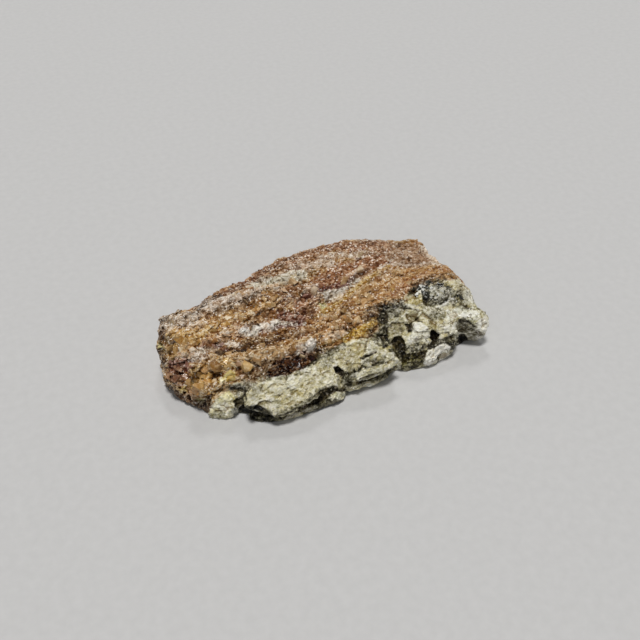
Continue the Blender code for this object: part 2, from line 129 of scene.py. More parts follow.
def cut_flat(mesh, height):
    """The mesh cut off flat at a height, with one face closing it."""
    shape = bmesh.new()
    shape.from_mesh(mesh)
    cut = bmesh.ops.bisect_plane(
        shape,
        geom=shape.verts[:] + shape.edges[:] + shape.faces[:],
        plane_co=(0, 0, height),
        plane_no=(0, 0, -1),
        clear_outer=True,
    )
    rim = [part for part in cut["geom_cut"] if isinstance(part, bmesh.types.BMEdge)]
    bmesh.ops.edgenet_fill(shape, edges=rim)
    bmesh.ops.recalc_face_normals(shape, faces=shape.faces)
    shape.to_mesh(mesh)
    shape.free()


# ---------------------------------------------------------------- noise and cells
def smooth_step(x):
    x = np.clip(x, 0.0, 1.0)
    return x * x * (3.0 - 2.0 * x)


def noise_at(points, size, seed=0.0, octaves=3, roughness=0.6):
    """Fractal noise from about -1 to 1 with its coarsest features about size across."""
    shift = Vector((seed * 13.1, seed * 7.7, seed * 3.3))
    gain = max(0.05, 1.0 - roughness)
    return np.array([noise.fractal(Vector(p) / size + shift, gain, 2.0, octaves) for p in points])


def hash_of(cells, seed):
    """A number from 0 to 1 for each row of whole numbers."""
    mixed = np.sin(cells @ np.array([127.1, 311.7, 74.7]) + seed * 17.0) * 43758.5453
    return mixed - np.floor(mixed)


def hashes_of(cells, seeds):
    return np.stack([hash_of(cells, seed) for seed in seeds], 1)


def cells_at(points, size, seed=0.0, jitter=0.9):
    """Irregular cells about size across: the nearest one's middle and id, and the gap to the next."""
    shift = seed * 3.7
    place = points / size + shift
    home = np.floor(place)
    best = np.full(len(points), np.inf)
    second = np.full(len(points), np.inf)
    middle = np.zeros_like(points)
    ident = np.zeros_like(points)
    steps = (-1, 0, 1)
    for step in ((x, y, z) for x in steps for y in steps for z in steps):
        cell = home + step
        offset = hashes_of(cell, (seed + 1, seed + 2, seed + 3))
        seed_point = cell + 0.5 + (offset - 0.5) * jitter
        distance = np.linalg.norm(seed_point - place, axis=1)
        nearer = distance < best
        second = np.where(nearer, best, np.minimum(second, distance))
        best = np.where(nearer, distance, best)
        middle = np.where(nearer[:, None], seed_point, middle)
        ident = np.where(nearer[:, None], cell, ident)
    return (middle - shift) * size, ident, (second - best) * size


# ---------------------------------------------------------------- the bare skin, in mm
def bare_skin():
    mesh = ROCK.data.copy()
    mesh.transform(ROCK.matrix_world)
    set_points(mesh, points_of(mesh) / MM)
    mesh = modified(mesh, "REMESH", mode="VOXEL", voxel_size=SKIN_VOXEL)
    return modified(mesh, "SMOOTH", iterations=3, factor=0.5)


def tree_of(mesh):
    points = [tuple(p) for p in points_of(mesh)]
    return BVHTree.FromPolygons(points, [tuple(face.vertices) for face in mesh.polygons])


skin = bare_skin()
tree = tree_of(skin)


def on_rock(px):
    """The point of the rock, in mm, that the camera sees at a frame pixel, or just inside its outline."""
    u, v = px
    for _ in range(SEARCH_STEPS):
        ray = Vector(-BACK * FOCAL_PX + (u - IMAGE / 2) * RIGHT - (v - IMAGE / 2) * UP).normalized()
        hit = tree.ray_cast(Vector(EYE), ray)[0]
        if hit is not None:
            return np.array(hit)
        inward = np.array(ROCK_MIDDLE_PX) - (u, v)
        u, v = (u, v) + inward / np.linalg.norm(inward)
    raise ValueError(f"no rock near pixel {px}")


# Small corrections to the outline: frame pixel to move, where to, and how far around it, in mm.
NUDGES = (
    ((330, 248), (330, 246), 3.0),
    ((350, 246), (350, 242.5), 3.0),
    ((372, 246), (372, 241.5), 3.0),
    ((388, 244), (388, 242), 2.0),
    ((410, 243), (410, 240), 2.0),
    ((422, 245), (425, 241), 2.0),
    ((164, 321), (162, 317), 1.6),
    ((180, 316), (179, 312.5), 2.0),
    ((158, 332), (160, 332), 1.5),
    ((157, 350), (155, 350), 1.2),
    ((163, 368), (165, 368), 2.2),
    ((172, 396), (175, 392), 2.2),
    ((226, 291), (226, 289.5), 2.0),
    ((238, 287), (238, 286), 2.0),
    ((474, 298), (473, 298), 2.0),
    ((480, 308), (481, 307), 1.6),
    ((310, 407), (310, 405.5), 2.0),
    ((330, 400), (330, 398.5), 2.0),
    ((350, 396), (350, 391.5), 1.7),
    ((366, 389), (366, 383.5), 1.7),
    ((381, 380), (381, 377), 1.6),
    ((466, 340), (466, 338), 1.5),
)


def nudged(mesh):
    points = points_of(mesh)
    shift = np.zeros_like(points)
    for start, end, reach in NUDGES:
        across, up = end[0] - start[0], start[1] - end[1]
        gap = np.linalg.norm(points - on_rock(start), axis=1) / reach
        shift += np.exp(-2.0 * gap * gap)[:, None] * (across * RIGHT + up * UP) * MM_PER_PX
    set_points(mesh, points + shift)


nudged(skin)
tree = tree_of(skin)

# ---------------------------------------------------------------- colours, linear
TAN = (0.43, 0.262, 0.120)
RED_TAN = (0.35, 0.175, 0.095)
BROWN = (0.150, 0.075, 0.026)
DARK_BROWN = (0.040, 0.018, 0.005)
WINE = (0.21, 0.085, 0.068)
# dark enough to carry painted shade where the maroon slope and the fissure use it
MAROON = (0.034, 0.010, 0.002)
OCHRE = (0.40, 0.215, 0.050)
AMBER = (0.30, 0.150, 0.035)
HONEY = (0.475, 0.336, 0.16)
YELLOW = (0.62, 0.50, 0.20)
CRUST_WHITE = (0.56, 0.47, 0.41)
BLUE_WHITE = (0.62, 0.60, 0.59)
BRIGHT_WHITE = (0.80, 0.76, 0.72)
PALE = (0.62, 0.57, 0.37)
PALE_WHITE = (0.86, 0.85, 0.73)
PALE_YELLOW = (0.60, 0.52, 0.26)
PALE_GREY = (0.27, 0.265, 0.20)
OLIVE = (0.085, 0.075, 0.030)
DARK_OLIVE = (0.034, 0.027, 0.008)
BLACK = (0.012, 0.010, 0.008)
POCKET_DARK = np.array([0.028, 0.027, 0.018])
POCKET_WHITE = np.array([0.80, 0.80, 0.75])
WARMTH = np.array([0.975, 0.955, 0.87])  # the light here is a little cooler than the photograph's

# Where the crust meets the pale rock, from the near left foot to the right end, in frame pixels.
SEAM_PX = (
    (207, 414), (209, 405), (213, 397), (218, 390), (226, 384), (236, 382), (246, 385), (254, 382),
    (264, 378), (278, 376), (291, 374), (302, 369.5), (311, 362), (321, 354.5), (332, 349), (345, 342),
    (358, 338), (370, 338), (378, 329), (379, 314), (384, 305), (399, 302.5), (404, 297), (413, 289),
    (422, 283), (436, 279), (450, 281), (457, 279), (466, 284),
)

# Streaks along the bands: name, colour, half width in mm, strength, raggedness, frame pixels along it.
STREAKS = (
    # painted shade: the cave's depth is dark because light doesn't reach into it
    ("cave's depth", (0.013, 0.011, 0.005), 1.1, 1.0, 0.2, ((252, 413), (259, 414), (266, 416), (271, 418))),
    ("amber left", (0.62, 0.395, 0.140), 1.6, 0.9, 0.5, ((172, 335), (184, 341), (204, 340), (222, 332))),
    ("amber low left", (0.48, 0.29, 0.095), 1.5, 0.85, 0.5, ((184, 380), (196, 376), (204, 384), (210, 392))),
    ("amber middle", (0.60, 0.39, 0.175), 1.3, 0.75, 0.6, ((196, 326), (215, 318), (240, 312), (262, 306))),
    ("amber crest", (0.52, 0.32, 0.13), 0.9, 0.8, 0.5,
     ((224, 358), (240, 354), (262, 353), (286, 347), (300, 340))),
    ("amber right", (0.50, 0.30, 0.13), 1.6, 0.7, 0.6,
     ((330, 322), (352, 305), (375, 292), (400, 278), (430, 270))),
    ("far pink", (0.33, 0.215, 0.145), 2.6, 0.9, 0.3, ((372, 251), (395, 252), (420, 256))),
    ("red band", RED_TAN, 1.3, 0.9, 0.7, ((322, 281), (340, 272), (360, 266), (376, 260))),
    ("red band, far", RED_TAN, 1.0, 0.7, 0.7, ((240, 284), (268, 268), (300, 258), (330, 247), (385, 246))),
    ("red shelf", RED_TAN, 1.0, 0.6, 0.8, ((396, 292), (410, 282), (425, 276))),
    ("red left", RED_TAN, 1.2, 0.7, 0.7, ((203, 345), (222, 337), (238, 330))),
    # brown slope: partly the crust's own brown, partly painted shade on a slope turned from the light
    ("brown slope", BROWN, 1.0, 0.8, 0.7, ((246, 342), (262, 339), (284, 335), (300, 331))),
    ("left crust", (0.70, 0.59, 0.50), 1.2, 0.9, 0.8, ((163, 325), (176, 321), (194, 322))),
    ("left crust, far", CRUST_WHITE, 0.8, 0.8, 0.8, ((190, 314), (206, 307), (228, 300))),
    ("far crust", CRUST_WHITE, 0.8, 0.8, 0.9, ((205, 306), (232, 302), (258, 292))),
    ("middle crust", (0.58, 0.54, 0.45), 1.0, 0.95, 0.7, ((256, 284), (275, 280), (300, 275))),
    ("upper crust", CRUST_WHITE, 0.8, 0.6, 0.9, ((296, 268), (316, 264), (330, 262))),
    ("top crust", CRUST_WHITE, 0.7, 0.7, 0.9, ((322, 258), (342, 255), (360, 253))),
    ("far rim", (0.20, 0.095, 0.050), 0.75, 0.85, 0.8,
     ((196, 306), (225, 293), (250, 281), (262, 272), (280, 263))),
    ("far rim, right", (0.23, 0.115, 0.062), 0.75, 0.8, 0.8,
     ((280, 263), (300, 255), (320, 249), (345, 245), (380, 243))),
    ("rim shade, left", DARK_BROWN, 0.5, 0.7, 0.8, ((158, 322), (166, 317), (178, 311))),
    ("line under crust", DARK_BROWN, 0.25, 0.7, 0.9,
     ((200, 313), (222, 311), (240, 301), (262, 291), (282, 287))),
    ("pink patch", CRUST_WHITE, 0.9, 0.8, 0.8, ((186, 351), (199, 355), (190, 362))),
    ("white spots", (0.85, 0.80, 0.76), 0.5, 0.85, 1.0, ((198, 350), (214, 348), (224, 342), (236, 344))),
    ("blue white vein", BLUE_WHITE, 0.55, 0.95, 0.9, ((306, 292), (322, 291), (334, 295))),
    ("blue white vein, right", BLUE_WHITE, 0.6, 0.95, 0.8, ((326, 297), (340, 291), (350, 282), (358, 277))),
    ("white streak", (0.96, 0.94, 0.94), 0.5, 1.0, 0.4,
     ((243, 332), (252, 333), (262, 328), (270, 328), (277, 324))),
    ("white streak, right", BLUE_WHITE, 0.5, 0.9, 0.7, ((276, 326), (290, 323), (302, 322))),
    ("wine band", (0.27, 0.125, 0.095), 0.9, 0.85, 0.9, ((272, 314), (286, 316), (300, 318), (308, 310))),
    ("wine band, upper", WINE, 0.55, 0.9, 0.8, ((300, 303), (306, 296), (318, 288), (332, 286), (346, 283))),
    ("wine band, tail", WINE, 0.3, 0.8, 0.8, ((346, 283), (356, 275), (368, 270))),
    ("wine pits", DARK_BROWN, 0.28, 0.95, 0.8, ((246, 327), (252, 325), (258, 327))),
    ("wine under streak", WINE, 0.3, 0.8, 0.9, ((262, 331), (276, 327), (290, 327), (300, 325))),
    ("wine left", WINE, 1.0, 0.9, 0.9, ((171, 362), (180, 366), (188, 371))),
    ("wine left, lower", WINE, 0.8, 0.8, 0.9, ((170, 372), (176, 379), (186, 381))),
    ("wine notch", WINE, 0.45, 0.8, 0.9, ((204, 344), (214, 343), (226, 349))),
    ("groove shade", DARK_BROWN, 0.28, 0.9, 0.6, ((221, 352), (240, 350), (262, 349), (284, 346))),
    ("slope top", BROWN, 0.6, 0.8, 0.9, ((275, 355), (290, 350), (302, 346))),
    # the first two maroon slope rows: partly the crust's own dark red, partly painted shade on the steep face
    # below the crest
    ("maroon slope", MAROON, 1.3, 1.0, 0.2, ((262, 372), (278, 368), (296, 362), (306, 356))),
    ("maroon slope, right", MAROON, 0.4, 0.9, 0.5, ((306, 357), (316, 351), (324, 347))),
    ("maroon slope, left", BROWN, 0.8, 0.8, 0.9, ((245, 378), (252, 374), (262, 368))),
    # painted shade: the fissure's dark line stands for shade in the crack under a small overhang
    ("fissure", MAROON, 0.14, 1.0, 0.2, ((250, 359), (253, 361), (258, 366))),
    ("tan crest", TAN, 0.8, 0.9, 0.5, ((225, 357), (240, 355), (262, 353), (284, 350))),
    # the white crystal: partly its own white, partly a painted highlight on its faces
    ("white crystal", BRIGHT_WHITE, 0.55, 1.0, 0.5, ((306, 350), (312, 343))),
    ("tan low", TAN, 1.6, 0.6, 0.7, ((196, 392), (206, 384), (222, 388))),
    ("yellow foot", YELLOW, 0.5, 0.75, 0.8, ((184, 390), (191, 386), (198, 380))),
    ("yellow bead", YELLOW, 0.55, 1.0, 0.4, ((222, 381), (231, 375))),
    ("ochre vein", (0.33, 0.17, 0.030), 0.6, 0.95, 0.5, ((318, 316), (330, 309), (342, 300))),
    ("ochre vein, upper", (0.42, 0.25, 0.065), 0.4, 0.95, 0.5,
     ((342, 300), (352, 291), (365, 281), (380, 272), (388, 267))),
    ("ochre vein, edge", BROWN, 0.16, 0.9, 0.4, ((346, 303), (356, 293), (368, 284), (380, 276))),
    ("ochre lower", (0.66, 0.44, 0.11), 0.75, 0.9, 0.6, ((345, 337), (357, 333), (366, 327), (374, 321))),
    ("ochre far left", AMBER, 0.9, 0.5, 0.9, ((166, 336), (180, 339), (196, 340))),
    ("rim line", CRUST_WHITE, 0.2, 0.9, 0.5,
     ((379, 269), (388, 264), (400, 265), (415, 265), (430, 262), (440, 264))),
    ("cream streak", CRUST_WHITE, 0.4, 0.85, 0.7, ((322, 338), (335, 334), (346, 333))),
    ("rust holes", MAROON, 0.3, 0.9, 0.9, ((343, 327), (350, 330), (355, 326))),
    ("rust line", BROWN, 0.3, 0.8, 0.8, ((352, 314), (364, 318), (374, 315))),
    ("rust line, right", BROWN, 0.22, 0.9, 0.8, ((410, 286), (422, 280), (434, 275), (448, 274), (456, 281))),
    ("end shade", DARK_BROWN, 0.5, 0.8, 0.8, ((160, 333), (164, 338), (172, 343))),
    ("end bead", PALE_YELLOW, 0.45, 0.9, 0.4, ((159, 345), (163, 349))),
    ("foot shade", (0.060, 0.024, 0.009), 0.9, 0.85, 0.8, ((176, 394), (188, 401), (198, 406), (206, 411))),
    # the pale rock
    ("long block", PALE, 2.5, 0.4, 0.5, ((262, 392), (300, 385), (330, 368))),
    ("long block, light", PALE_WHITE, 0.8, 0.6, 0.9, ((266, 384), (290, 382), (310, 372))),
)

# Patches with a clear outline: name, colour, strength, raggedness, frame pixels of their corners. They were
# typed in one by one. Most of the later ones answer the spots where render and photograph differed most.
PATCHES = (
    ("knob", (0.92, 0.87, 0.60), 0.95, 0.4,
     ((209, 411), (216, 400), (222, 395), (230, 391), (235, 396), (231, 408), (228, 416), (212, 416))),
    ("knob, white", (0.93, 0.92, 0.82), 0.95, 0.4,
     ((216, 405), (226, 402), (231, 407), (228, 415), (221, 414))),
    ("knob, yellow", (0.82, 0.76, 0.42), 0.9, 0.5,
     ((218, 398), (229, 391), (234, 395), (228, 401), (217, 403))),
    ("knob's arch", (0.085, 0.080, 0.055), 0.95, 0.6,
     ((217, 395), (222, 388), (230, 384), (240, 386), (247, 392), (245, 396), (237, 390), (231, 389),
      (224, 391))),
    ("arch glint", BLUE_WHITE, 1.0, 0.2, ((229, 388), (233, 389), (231, 391), (229, 390))),
    ("arch crystal", (0.40, 0.39, 0.35), 1.0, 0.6, ((235, 391), (240, 391), (240, 396), (236, 396))),
    ("right of knob", (0.16, 0.155, 0.1), 0.95, 0.5,
     ((233, 402), (237, 398), (244, 394), (247, 399), (245, 407), (240, 411), (235, 406))),
    ("right of knob, light", (0.36, 0.36, 0.33), 0.9, 0.5,
     ((231, 409), (236, 407), (240, 413), (237, 416), (231, 412))),
    ("long block's grey end", (0.46, 0.44, 0.35), 0.8, 1.0,
     ((246, 402), (250, 391), (258, 385), (264, 388), (262, 398), (266, 407), (250, 409))),
    # painted shade: the cave and its back are dark because light can't reach inside
    ("cave", (0.013, 0.011, 0.005), 1.0, 0.25,
     ((238, 410), (246, 405), (258, 405), (266, 409), (273, 416), (277, 424), (250, 424), (238, 419))),
    ("cave, back", OLIVE, 0.7, 0.9, ((254, 412), (262, 412), (266, 418), (256, 419))),
    ("arch lip", PALE, 0.6, 0.5, ((266, 410), (275, 408), (288, 402), (282, 414), (275, 417))),
    ("long block's seam", (0.16, 0.15, 0.085), 0.8, 0.8,
     ((262, 381), (270, 374), (286, 376), (300, 370), (306, 366), (304, 372), (292, 378), (276, 381))),
    ("long block, white", PALE_WHITE, 0.6, 0.9, ((314, 373), (326, 372), (338, 380), (330, 386), (316, 380))),
    ("long block, low white", PALE_WHITE, 0.5, 0.9,
     ((286, 402), (300, 396), (312, 391), (310, 396), (296, 404), (284, 410))),
    ("left of nose", (0.22, 0.21, 0.15), 0.8, 0.9,
     ((318, 358), (326, 352), (334, 352), (336, 362), (330, 366), (320, 366))),
    # painted shade under the long block's lip, in the recess
    ("lip recess", (0.052, 0.044, 0.018), 0.95, 0.7,
     ((306, 403), (314, 395), (322, 389), (334, 386), (346, 389), (349, 394), (338, 391), (330, 398),
      (318, 404), (298, 412))),
    ("lip recess, low", (0.065, 0.056, 0.022), 0.95, 0.6,
     ((302, 412), (312, 404), (326, 398), (338, 398), (344, 401), (332, 407), (318, 412), (304, 416))),
    ("recess chip", (0.60, 0.59, 0.42), 1.0, 0.4,
     ((332, 393), (337, 392), (341, 396), (338, 399), (333, 398))),
    ("recess chip, right", (0.45, 0.44, 0.32), 0.9, 0.5, ((341, 393), (347, 391), (347, 395), (342, 397))),
    # painted shade: the block darker towards its foot by the floor
    ("block's foot", (0.10, 0.088, 0.040), 0.95, 0.6,
     ((271, 418), (279, 411), (292, 406), (302, 403), (306, 406), (294, 414), (282, 421))),
    ("low strip", (0.33, 0.30, 0.24), 0.9, 0.5,
     ((286, 414), (300, 407), (313, 403), (314, 406), (302, 412), (288, 419))),
    ("low strip's seam", DARK_OLIVE, 0.8, 0.5,
     ((278, 417), (290, 411), (300, 406), (301, 408), (290, 414), (280, 420))),
    # painted shade: the crack's black notch and the shade that spreads from it behind the nose's lip
    ("crack", (0.034, 0.024, 0.010), 1.0, 0.4,
     ((333, 367), (338, 366), (343, 371), (345, 375), (341, 376), (336, 373))),
    ("crack, brown", (0.04, 0.033, 0.014), 0.9, 0.7,
     ((342, 375), (347, 370), (355, 368), (362, 368), (357, 374), (354, 380), (352, 388), (345, 391),
      (341, 383))),
    ("nose top", (0.40, 0.35, 0.20), 0.8, 0.6,
     ((338, 352), (346, 345), (360, 342), (362, 352), (358, 362), (350, 370), (340, 364))),
    ("nose top, yellow", (0.50, 0.45, 0.24), 0.7, 0.9, ((348, 343), (360, 341), (362, 350), (352, 352))),
    ("nose end, white", (0.42, 0.40, 0.29), 0.7, 0.9,
     ((364, 344), (376, 342), (382, 350), (394, 355), (396, 361), (384, 360), (374, 356), (366, 352))),
    ("nose end, grey", (0.16, 0.15, 0.10), 0.9, 0.9,
     ((362, 358), (374, 357), (386, 360), (388, 363), (372, 366), (362, 366))),
    ("nose split", BLACK, 0.95, 0.3,
     ((360, 358), (367, 354), (377, 351), (376, 353), (368, 357), (362, 360))),
    ("nose split, light", PALE_WHITE, 0.9, 0.3, ((363, 355), (368, 352), (377, 350), (377, 351), (368, 354))),
    ("nose seam", (0.03, 0.024, 0.007), 0.9, 0.5,
     ((344, 375), (354, 371), (366, 366), (380, 362), (392, 360), (380, 365), (366, 369), (354, 374),
      (346, 378))),
    ("nose lip", (0.60, 0.57, 0.39), 0.95, 0.3,
     ((357, 376), (362, 372), (370, 369), (385, 366), (398, 360), (398, 365), (386, 370), (370, 375),
      (361, 379), (355, 381))),
    # painted shade under the nose's overhang
    ("nose underside", (0.085, 0.076, 0.034), 0.95, 0.5,
     ((356, 380), (370, 375), (386, 371), (397, 366), (395, 374), (380, 381), (366, 385), (356, 385))),
    ("nose crystal", PALE_WHITE, 1.0, 0.2, ((364, 385), (369, 382), (373, 386), (371, 389), (366, 387))),
    ("above the band, brown", (0.036, 0.02, 0.008), 0.92, 1.0,
     ((378, 305), (386, 300), (400, 298), (403, 302), (388, 305), (378, 309))),
    ("black band", (0.012, 0.010, 0.005), 1.0, 0.5,
     ((376, 306), (385, 303), (395, 304), (402, 302), (405, 306), (412, 309), (404, 310), (398, 308),
      (392, 313), (378, 313))),
    ("black band, thin", BLACK, 0.9, 0.3, ((405, 306), (412, 308), (420, 310), (420, 311), (411, 310))),
    ("black band, white", PALE_WHITE, 0.8, 0.5, ((407, 305), (413, 307), (422, 309), (414, 309))),
    ("black band, glints", BLUE_WHITE, 0.9, 1.6, ((386, 307), (398, 306), (398, 308), (387, 309))),
    ("block's dark end", (0.022, 0.018, 0.007), 1.0, 0.35,
     ((377, 314), (389, 313), (389, 330), (390, 345), (384, 348), (380, 336))),
    ("block's dark end, light", PALE, 0.6, 0.5, ((380, 318), (382, 318), (382, 327), (380, 331))),
    ("block's dark end, light low", PALE, 0.5, 0.6, ((384, 334), (386, 334), (387, 343), (385, 344))),
    ("block, mottled", (0.36, 0.34, 0.22), 0.85, 1.0,
     ((388, 314), (400, 312), (404, 320), (403, 334), (390, 338), (387, 326))),
    ("block, crest", (0.62, 0.59, 0.42), 0.85, 0.6,
     ((398, 311), (420, 311), (433, 313), (430, 319), (418, 316), (402, 317))),
    ("block, olive", OLIVE, 0.85, 0.7, ((414, 316), (419, 316), (422, 322), (418, 322))),
    # partly olive rock, partly painted shade: the pits are hollows and the flank faces down under the block
    ("block, upper pit", DARK_OLIVE, 0.95, 0.4, ((405, 324), (412, 322), (414, 330), (408, 333))),
    ("olive pit", (0.058, 0.046, 0.010), 1.0, 0.5,
     ((391, 342), (395, 337), (401, 336), (404, 341), (406, 347), (407, 355), (402, 359), (397, 352),
      (392, 347))),
    ("olive pit, low", DARK_OLIVE, 0.95, 0.5,
     ((387, 346), (392, 349), (400, 352), (405, 360), (400, 364), (396, 358), (391, 352))),
    ("shaded olive flank", (0.058, 0.048, 0.009), 1.0, 0.4,
     ((401, 359), (409, 353), (418, 352), (427, 350), (426, 357), (424, 365), (412, 370), (401, 370))),
    ("olive flank, light", (0.08, 0.072, 0.035), 0.8, 0.7,
     ((406, 365), (414, 361), (424, 361), (424, 365), (412, 370), (405, 370))),
    ("block, grey", (0.035, 0.031, 0.017), 0.95, 0.8,
     ((408, 345), (418, 342), (428, 344), (426, 350), (416, 352), (408, 353))),
    ("white facet", (0.86, 0.85, 0.75), 0.95, 0.3,
     ((412, 324), (420, 322), (429, 328), (431, 336), (428, 344), (420, 341), (409, 343), (407, 339),
      (413, 332))),
    ("white facet's line", (0.085, 0.075, 0.03), 0.5, 0.3, ((420, 334), (430, 328), (430, 329), (421, 335))),
    # painted shade in the hollow of the three-cornered pit
    ("three-cornered pit", (0.045, 0.038, 0.020), 1.0, 0.15,
     ((432, 330), (435, 330), (440, 335), (435, 341), (429, 346), (431, 337))),
    ("pit's bright edge", PALE_WHITE, 1.0, 0.2, ((433, 342), (440, 336), (441, 337), (435, 343))),
    # painted shade between the pit and the white low facet
    ("block, brown grey", (0.085, 0.076, 0.048), 0.95, 0.5,
     ((426, 347), (432, 341), (440, 338), (450, 336), (459, 342), (457, 350), (449, 351), (443, 344),
      (434, 349), (427, 351))),
    ("block, fourth face", (0.70, 0.68, 0.57), 0.9, 0.4,
     ((444, 322), (456, 321), (459, 328), (459, 340), (450, 337), (443, 332))),
    # painted shade on the fourth face's lower part
    ("block, fourth face, dark", (0.12, 0.11, 0.065), 0.85, 0.7,
     ((449, 334), (457, 334), (459, 343), (453, 341))),
    ("fourth face's edge", PALE_WHITE, 0.9, 0.1,
     ((457, 320), (459, 322), (460, 334), (459, 342), (458, 334), (458, 324))),
    ("block, white low", (0.95, 0.94, 0.9), 1.0, 0.4,
     ((427, 352), (434, 348), (443, 343), (451, 347), (450, 353), (444, 354), (438, 357), (430, 365),
      (424, 365), (426, 357))),
    ("block, white low right", (0.95, 0.94, 0.88), 0.95, 0.5,
     ((442, 356), (450, 354), (450, 359), (444, 362), (438, 363))),
    ("block, low gap", DARK_OLIVE, 0.9, 0.3, ((437, 358), (443, 354), (441, 358), (437, 363))),
    ("block, black foot", (0.016, 0.013, 0.008), 0.95, 0.4, ((451, 353), (457, 351), (461, 354), (452, 358))),
    ("block, brown dashes", (0.11, 0.095, 0.042), 0.95, 0.9,
     ((428, 315), (433, 308), (443, 309), (447, 316), (441, 321), (432, 319))),
    ("block, pale yellow", (0.5, 0.47, 0.33), 0.8, 0.8,
     ((428, 322), (440, 320), (448, 316), (446, 311), (440, 310), (432, 316))),
    ("end, upper white", (0.86, 0.87, 0.80), 0.95, 0.4,
     ((446, 311), (455, 308), (466, 309), (474, 306), (480, 316), (468, 318), (458, 317), (450, 323),
      (446, 318))),
    ("end, yellow", (0.46, 0.45, 0.29), 0.85, 0.6,
     ((467, 318), (477, 316), (479, 320), (474, 325), (469, 321))),
    # the wedge rows: a face turned away from the light, its own grey darkened with painted shade; its black
    # spot is painted shade in a hollow
    ("wedge", (0.33, 0.31, 0.24), 1.0, 0.1,
     ((458, 320), (463, 317), (468, 320), (476, 326), (484, 335), (478, 342), (470, 344), (460, 342),
      (458, 330))),
    ("wedge's upper edge", (0.040, 0.033, 0.018), 1.0, 0.2,
     ((458, 320), (463, 317), (468, 320), (476, 326), (474, 327), (466, 322), (460, 323))),
    ("wedge's middle line", (0.08, 0.07, 0.045), 0.8, 0.4,
     ((462, 325), (468, 327), (476, 330), (484, 335), (476, 332), (466, 328))),
    ("wedge, light low", (0.40, 0.38, 0.33), 0.9, 0.3,
     ((470, 338), (480, 335), (486, 335), (480, 342), (472, 343))),
    ("wedge, black", (0.013, 0.010, 0.007), 1.0, 0.2,
     ((459, 335), (464, 334), (468, 340), (467, 346), (459, 345))),
    ("end tip", (0.90, 0.89, 0.83), 1.0, 0.2,
     ((475, 325), (478, 320), (484, 317), (490, 322), (489, 331), (484, 335), (479, 330))),
    ("right cream, shade", (0.22, 0.18, 0.12), 0.8, 1.0,
     ((455, 282), (462, 281), (468, 288), (470, 298), (462, 298), (456, 290))),
    ("end, dark rim", (0.08, 0.075, 0.045), 0.8, 0.4,
     ((477, 302), (481, 308), (486, 316), (484, 316), (479, 309))),
    ("end, light rim", (0.50, 0.49, 0.33), 0.8, 0.4,
     ((476, 303), (479, 309), (483, 317), (480, 316), (476, 309))),
    ("crystal patch", (0.05, 0.046, 0.028), 0.95, 0.6,
     ((421, 291), (428, 287), (440, 284), (450, 287), (453, 295), (449, 302), (440, 306), (428, 308),
      (422, 302))),
    ("crystal patch, light", (0.62, 0.61, 0.54), 0.75, 1.6,
     ((427, 288), (438, 286), (448, 289), (448, 298), (436, 302), (430, 298))),
    ("crystal patch, dark", (0.045, 0.040, 0.022), 0.95, 0.9,
     ((421, 291), (429, 291), (430, 299), (427, 307), (423, 303))),
    ("crystal patch, low dark", (0.050, 0.045, 0.028), 0.85, 0.9,
     ((428, 301), (440, 300), (448, 297), (448, 301), (440, 305), (430, 308))),
    ("crystal patch, top dark", (0.08, 0.075, 0.05), 0.8, 1.0,
     ((424, 288), (436, 284), (448, 285), (456, 290), (446, 288), (432, 288))),
    ("crescent", (0.74, 0.73, 0.66), 1.0, 0.1,
     ((436, 308), (443, 304), (448, 301), (450, 297), (451, 300), (446, 305), (438, 309))),
    ("crescent's shade", BLACK, 0.85, 0.2, ((441, 303), (447, 300), (449, 297), (448, 300), (443, 304))),
    ("right of crystals", (0.11, 0.1, 0.068), 0.8, 1.0,
     ((450, 288), (462, 291), (466, 300), (458, 303), (452, 298))),
    ("right of crystals, dark", (0.07, 0.06, 0.03), 0.9, 0.5,
     ((459, 302), (466, 304), (471, 309), (466, 308), (460, 305))),
    ("yellow patch", (0.46, 0.38, 0.15), 0.95, 0.4,
     ((403, 302), (409, 297), (416, 293), (421, 296), (424, 303), (416, 306), (408, 304))),
    ("yellow patch, orange", (0.36, 0.22, 0.09), 0.7, 0.8, ((402, 300), (408, 296), (410, 300), (405, 304))),
    ("above yellow, olive", (0.14, 0.125, 0.065), 0.85, 0.7,
     ((409, 291), (416, 286), (422, 288), (416, 293), (411, 295))),
    ("end rim, cream", (0.38, 0.33, 0.19), 0.9, 0.6,
     ((452, 285), (457, 279), (464, 283), (468, 291), (459, 290))),
    ("end rim, orange", (0.44, 0.24, 0.13), 0.8, 0.7, ((457, 278), (462, 279), (467, 286), (463, 285))),
    ("end rim, white", (0.66, 0.65, 0.56), 0.95, 0.5,
     ((463, 291), (470, 290), (474, 297), (477, 304), (470, 306), (464, 301))),
    ("seam shade", (0.052, 0.04, 0.015), 0.9, 0.8,
     ((308, 363), (313, 358), (320, 351), (332, 346), (345, 341), (346, 347), (336, 354), (326, 357),
      (316, 362), (305, 370))),
    # painted shade under the chip, and the recess's shade carried a little higher above it
    ("under the chip", (0.026, 0.021, 0.007), 0.95, 0.5,
     ((312, 410), (322, 402), (332, 399), (342, 399), (346, 402), (334, 408), (320, 412))),
    ("above the recess", (0.14, 0.125, 0.07), 0.8, 0.9,
     ((312, 394), (318, 389), (328, 384), (334, 386), (322, 391), (314, 398))),
    ("block's left shade", (0.062, 0.054, 0.027), 0.9, 0.8,
     ((370, 338), (374, 333), (381, 330), (385, 338), (385, 347), (377, 347))),
    ("knob's foot", (0.33, 0.31, 0.20), 0.9, 0.5,
     ((209, 413), (216, 411), (225, 413), (224, 419), (211, 419))),
    ("long block's left shade", (0.08, 0.064, 0.036), 0.95, 0.8,
     ((237, 388), (241, 381), (252, 379), (259, 384), (250, 390), (244, 394))),
    ("under the band", (0.058, 0.050, 0.026), 0.9, 0.8,
     ((384, 310), (398, 308), (403, 314), (393, 318), (384, 317))),
    ("foot shade", (0.115, 0.10, 0.045), 0.9, 0.7,
     ((292, 410), (300, 402), (312, 395), (315, 400), (304, 407), (295, 413))),
